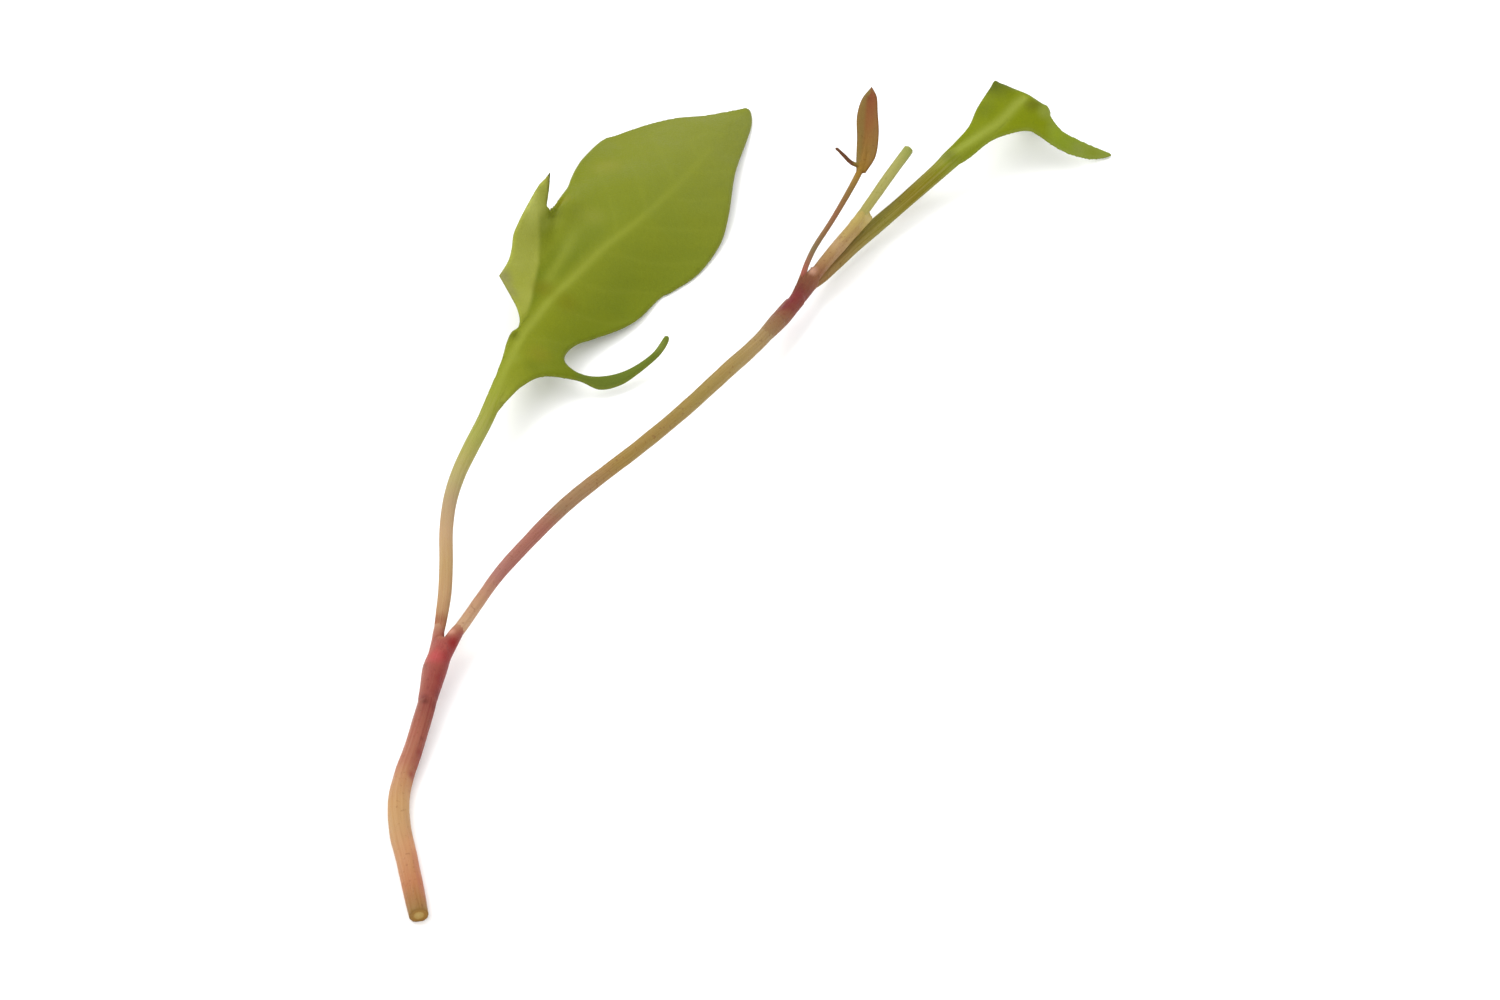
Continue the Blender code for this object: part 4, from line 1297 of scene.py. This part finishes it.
def midrib_under(keys, start, end):
    """A midrib's route under the blade, sinking deeper and thinning from start to end radius."""
    route = []
    shares = np.linspace(0, 1, len(keys))
    for (x, y, z), share in zip(settled(keys), shares):
        radius = start + share * (end - start)
        sink = RIB_SINKS[0] + math.sqrt(share) * (RIB_SINKS[1] - RIB_SINKS[0])
        route.append((x, y, max(z - LAMINA / 2 - sink * radius, radius), radius))
    return route


def thinned(route, share):
    return [(x, y, z, radius * share) for x, y, z, radius in route]


def large_lobes(plan):
    """1 on the folded left lobe, -1 on the curved right lobe and 0 on the rest."""
    fold_y = (11.0, 12.4, 13.6, 14.9, 16.9, 20.2, 21.0, 22.4)
    fold_x = (-13.3, -13.0, -12.75, -12.6, -12.35, -12.35, -11.95, -11.6)
    fold = np.interp(plan[:, 1], fold_y, fold_x)
    folded = ramped(fold - plan[:, 0], -0.3, 0.25) * ramped(plan[:, 1], 11.0, 13.0)
    gap_line = 9.6 + 0.56 * (plan[:, 0] + 10.7)
    curved = ramped(gap_line - plan[:, 1], -0.1, 0.4) * ramped(plan[:, 0], -10.8, -9.2)
    return folded - curved


def make_large_leaf():
    stops = [
        (0.0, (172, 98, 80)), (1.2, (176, 116, 90)), (1.6, (164, 106, 82)), (2.2, (186, 142, 106)),
        (3.4, (192, 152, 112)), (5.6, (192, 157, 111)), (8.0, (196, 161, 124)),
        (10.4, (184, 158, 122)), (12.2, (180, 166, 112)), (14.0, (176, 168, 98)),
        (16.0, (166, 168, 84)), (18.0, (156, 160, 66)), (20.0, (150, 157, 58)),
        (22.0, (142, 150, 50)), (26.0, (136, 145, 45)), (32.0, (133, 143, 50)),
        (38.0, (133, 143, 53)), (43.0, (137, 145, 60)), (47.0, (141, 147, 70)),
        (50.0, (142, 147, 78)),
    ]
    rib = midrib_under(LARGE_MIDRIB[1:-1], 0.42, 0.06)
    leaf = two_sheets(
        "large_leaf_skin",
        [LARGE_PETIOLE + rib],
        LARGE_MARGIN,
        (LARGE_MIDRIB, LARGE_FOLD, NOTCH_SHOULDER, NOTCH_INSIDE),
        veins=dict(start=21.0, spacing=3.1, lean=0.85, reach=8.5, midrib_end=45.0, widths=(0.28, 0.24)),
        bumps=[(SIDE_RIDGE, SIDE_RIDGE_RISE, SIDE_RIDGE_WIDTH)],
        channel=0.05,
        lobes=large_lobes,
    )
    skin = leaf_skin("large green leaf", stops, large_blade)
    return dressed(leaf, "large_leaf", skin)


def hook_lobe(plan):
    """1 on the hooked lobe, 0 on the rest."""
    return ramped(-plan[:, 0], -6.35, -6.0) * ramped(plan[:, 1], 24.0, 24.2)


def make_small_leaf():
    stops = [
        (0.0, (168, 78, 80)), (1.0, (164, 96, 84)), (2.2, (130, 110, 82)), (3.6, (146, 106, 76)),
        (5.0, (150, 100, 76)), (7.0, (142, 108, 62)), (7.6, (150, 114, 60)), (8.4, (160, 124, 56)),
        (10.5, (152, 122, 68)), (12.0, (150, 106, 68)), (14.0, (142, 86, 62)),
    ]
    rib = midrib_under(SMALL_MIDRIB[1:], 0.08, 0.04)
    leaf = two_sheets(
        "small_leaf_skin",
        [SMALL_STALK + rib, thinned(SMALL_HOOK, SMALL_HOOK_SHARE)],
        SMALL_MARGIN,
        (SMALL_MIDRIB,),
        fine=True,
        lobes=hook_lobe,
    )
    skin = leaf_skin("brown-red young leaf", stops, small_blade)
    return dressed(leaf, "small_leaf", skin)


def folded_parts(plan):
    """1 on the drooping lobe, -1 at the corners of the fold where painted shade goes, 0 on the rest."""
    drooping = ramped(plan[:, 0], 17.0, 18.6)
    corners = np.zeros(len(plan))
    for x, y in ((14.5, 31.0), (17.7, 29.6)):
        corners += np.exp(-(((plan[:, 0] - x) ** 2 + (plan[:, 1] - y) ** 2) / 0.5))
    return drooping - np.minimum(corners, 1) * (1 - drooping)


def make_folded_leaf():
    stops = [
        (0.0, (138, 88, 58)), (2.0, (148, 116, 68)), (3.6, (150, 126, 70)), (5.0, (146, 130, 64)),
        (7.0, (142, 134, 58)), (9.5, (138, 125, 44)), (11.5, (138, 134, 48)),
        (13.0, (137, 145, 46)), (15.0, (136, 147, 24)), (20.0, (134, 145, 16)),
    ]
    rib = midrib_under(FOLDED_MIDRIB[2:], 0.24, 0.10)
    leaf = two_sheets(
        "folded_leaf_skin",
        [thinned(FOLDED_PETIOLE[:-1], FOLDED_STALK_SHARE) + rib],
        FOLDED_MARGIN,
        (FOLDED_MIDRIB, FOLDED_RIDGE),
        fine=True,
        veins=dict(start=15.0, spacing=1.7, lean=0.8, reach=4.0, midrib_end=21.0, widths=(0.34, 0.26)),
        channel=0.05,
        lobes=folded_parts,
    )
    skin = leaf_skin("folded green leaf", stops, folded_blade)
    return dressed(leaf, "folded_leaf", skin)


def make_lower_sheath():
    stops = [
        (-17.9, (152, 82, 72)), (-16.5, (154, 76, 66)), (-15.0, (162, 80, 70)),
        (-13.9, (176, 80, 74)), (-13.0, (166, 86, 76)), (-12.4, (172, 110, 88)),
        (-11.9, (184, 136, 104)), (-11.1, (192, 150, 112)),
    ]
    tubes = [SHEATH_BODY, SHEATH_ON_PETIOLE, SHEATH_ON_STEM]
    sheath = two_sheets("lower_sheath", tubes, fine=True)
    # deep red right side, partly painted shade; pale left side, painted light
    skin = sheath_membrane(
        "lower red sheath", stops, (140, 44, 46), 0.75, (198, 138, 116), 0.45, LOWER_SHEATH_SPOTS
    )
    return dressed(sheath, "lower_ochrea", skin)


def make_upper_sheath():
    stops = [
        (11.8, (158, 128, 86)), (13.2, (150, 110, 76)), (13.8, (140, 84, 64)),
        (14.2, (128, 48, 52)), (15.4, (128, 46, 52)), (16.0, (122, 58, 52)), (16.6, (134, 82, 60)),
        (17.3, (160, 114, 80)), (18.0, (184, 148, 98)), (19.5, (198, 170, 108)),
        (21.0, (202, 182, 104)), (22.2, (198, 182, 102)),
    ]
    tubes = [COLLAR[:4] + THIN_TONGUE, COLLAR, COLLAR_ON_FOLDED, COLLAR_ON_SMALL, COLLAR_WEB, WEDGE]
    sheath = two_sheets("upper_sheath", tubes, fine=True)
    # darker right side, partly painted shade; paler left side, painted light
    skin = sheath_membrane(
        "upper sheath and tongue", stops, (140, 84, 58), 0.25, (176, 132, 92), 0.1, UPPER_SHEATH_SPOTS
    )
    return dressed(sheath, "upper_ochrea", skin)


def make_table():
    mesh = bpy.data.meshes.new("table")
    half = FLOOR_SIZE / 2
    corners = [(-half, -half, 0), (half, -half, 0), (half, half, 0), (-half, half, 0)]
    mesh.from_pydata(corners, [], [(0, 1, 2, 3)])
    mesh.materials.append(table_top())
    placed("table", mesh)


def make_light():
    world = bpy.data.worlds.new("soft white surroundings")
    world.use_nodes = True
    world.node_tree.nodes["Background"].inputs["Color"].default_value = (1.0, 1.0, 1.0, 1.0)
    world.node_tree.nodes["Background"].inputs["Strength"].default_value = SKY_STRENGTH
    bpy.context.scene.world = world
    key = bpy.data.lights.new("key from the upper left", "AREA")
    key.energy = KEY_POWER
    key.size = KEY_SIZE
    lamp = bpy.data.objects.new("key from the upper left", key)
    lamp.location = KEY_PLACE
    lamp.rotation_euler = (-Vector(KEY_PLACE)).to_track_quat("-Z", "Y").to_euler()
    bpy.context.scene.collection.objects.link(lamp)
    bpy.context.scene.view_settings.view_transform = "Standard"


def make_camera():
    lens = bpy.data.cameras.new("view")
    lens.lens = VIEW_LENS
    lens.sensor_width = 36.0
    lens.clip_start = 0.01
    view = bpy.data.objects.new("view", lens)
    view.rotation_euler = Euler((VIEW_TILT, 0, 0))
    back = Vector((0, -math.sin(VIEW_TILT), math.cos(VIEW_TILT)))
    view.location = Vector(VIEW_AIM) + VIEW_DISTANCE * back
    bpy.context.scene.collection.objects.link(view)
    bpy.context.scene.camera = view


make_camera()
make_light()
make_table()
make_stem()
make_lower_sheath()
make_large_leaf()
make_upper_sheath()
make_small_leaf()
make_cut_petiole()
make_folded_leaf()
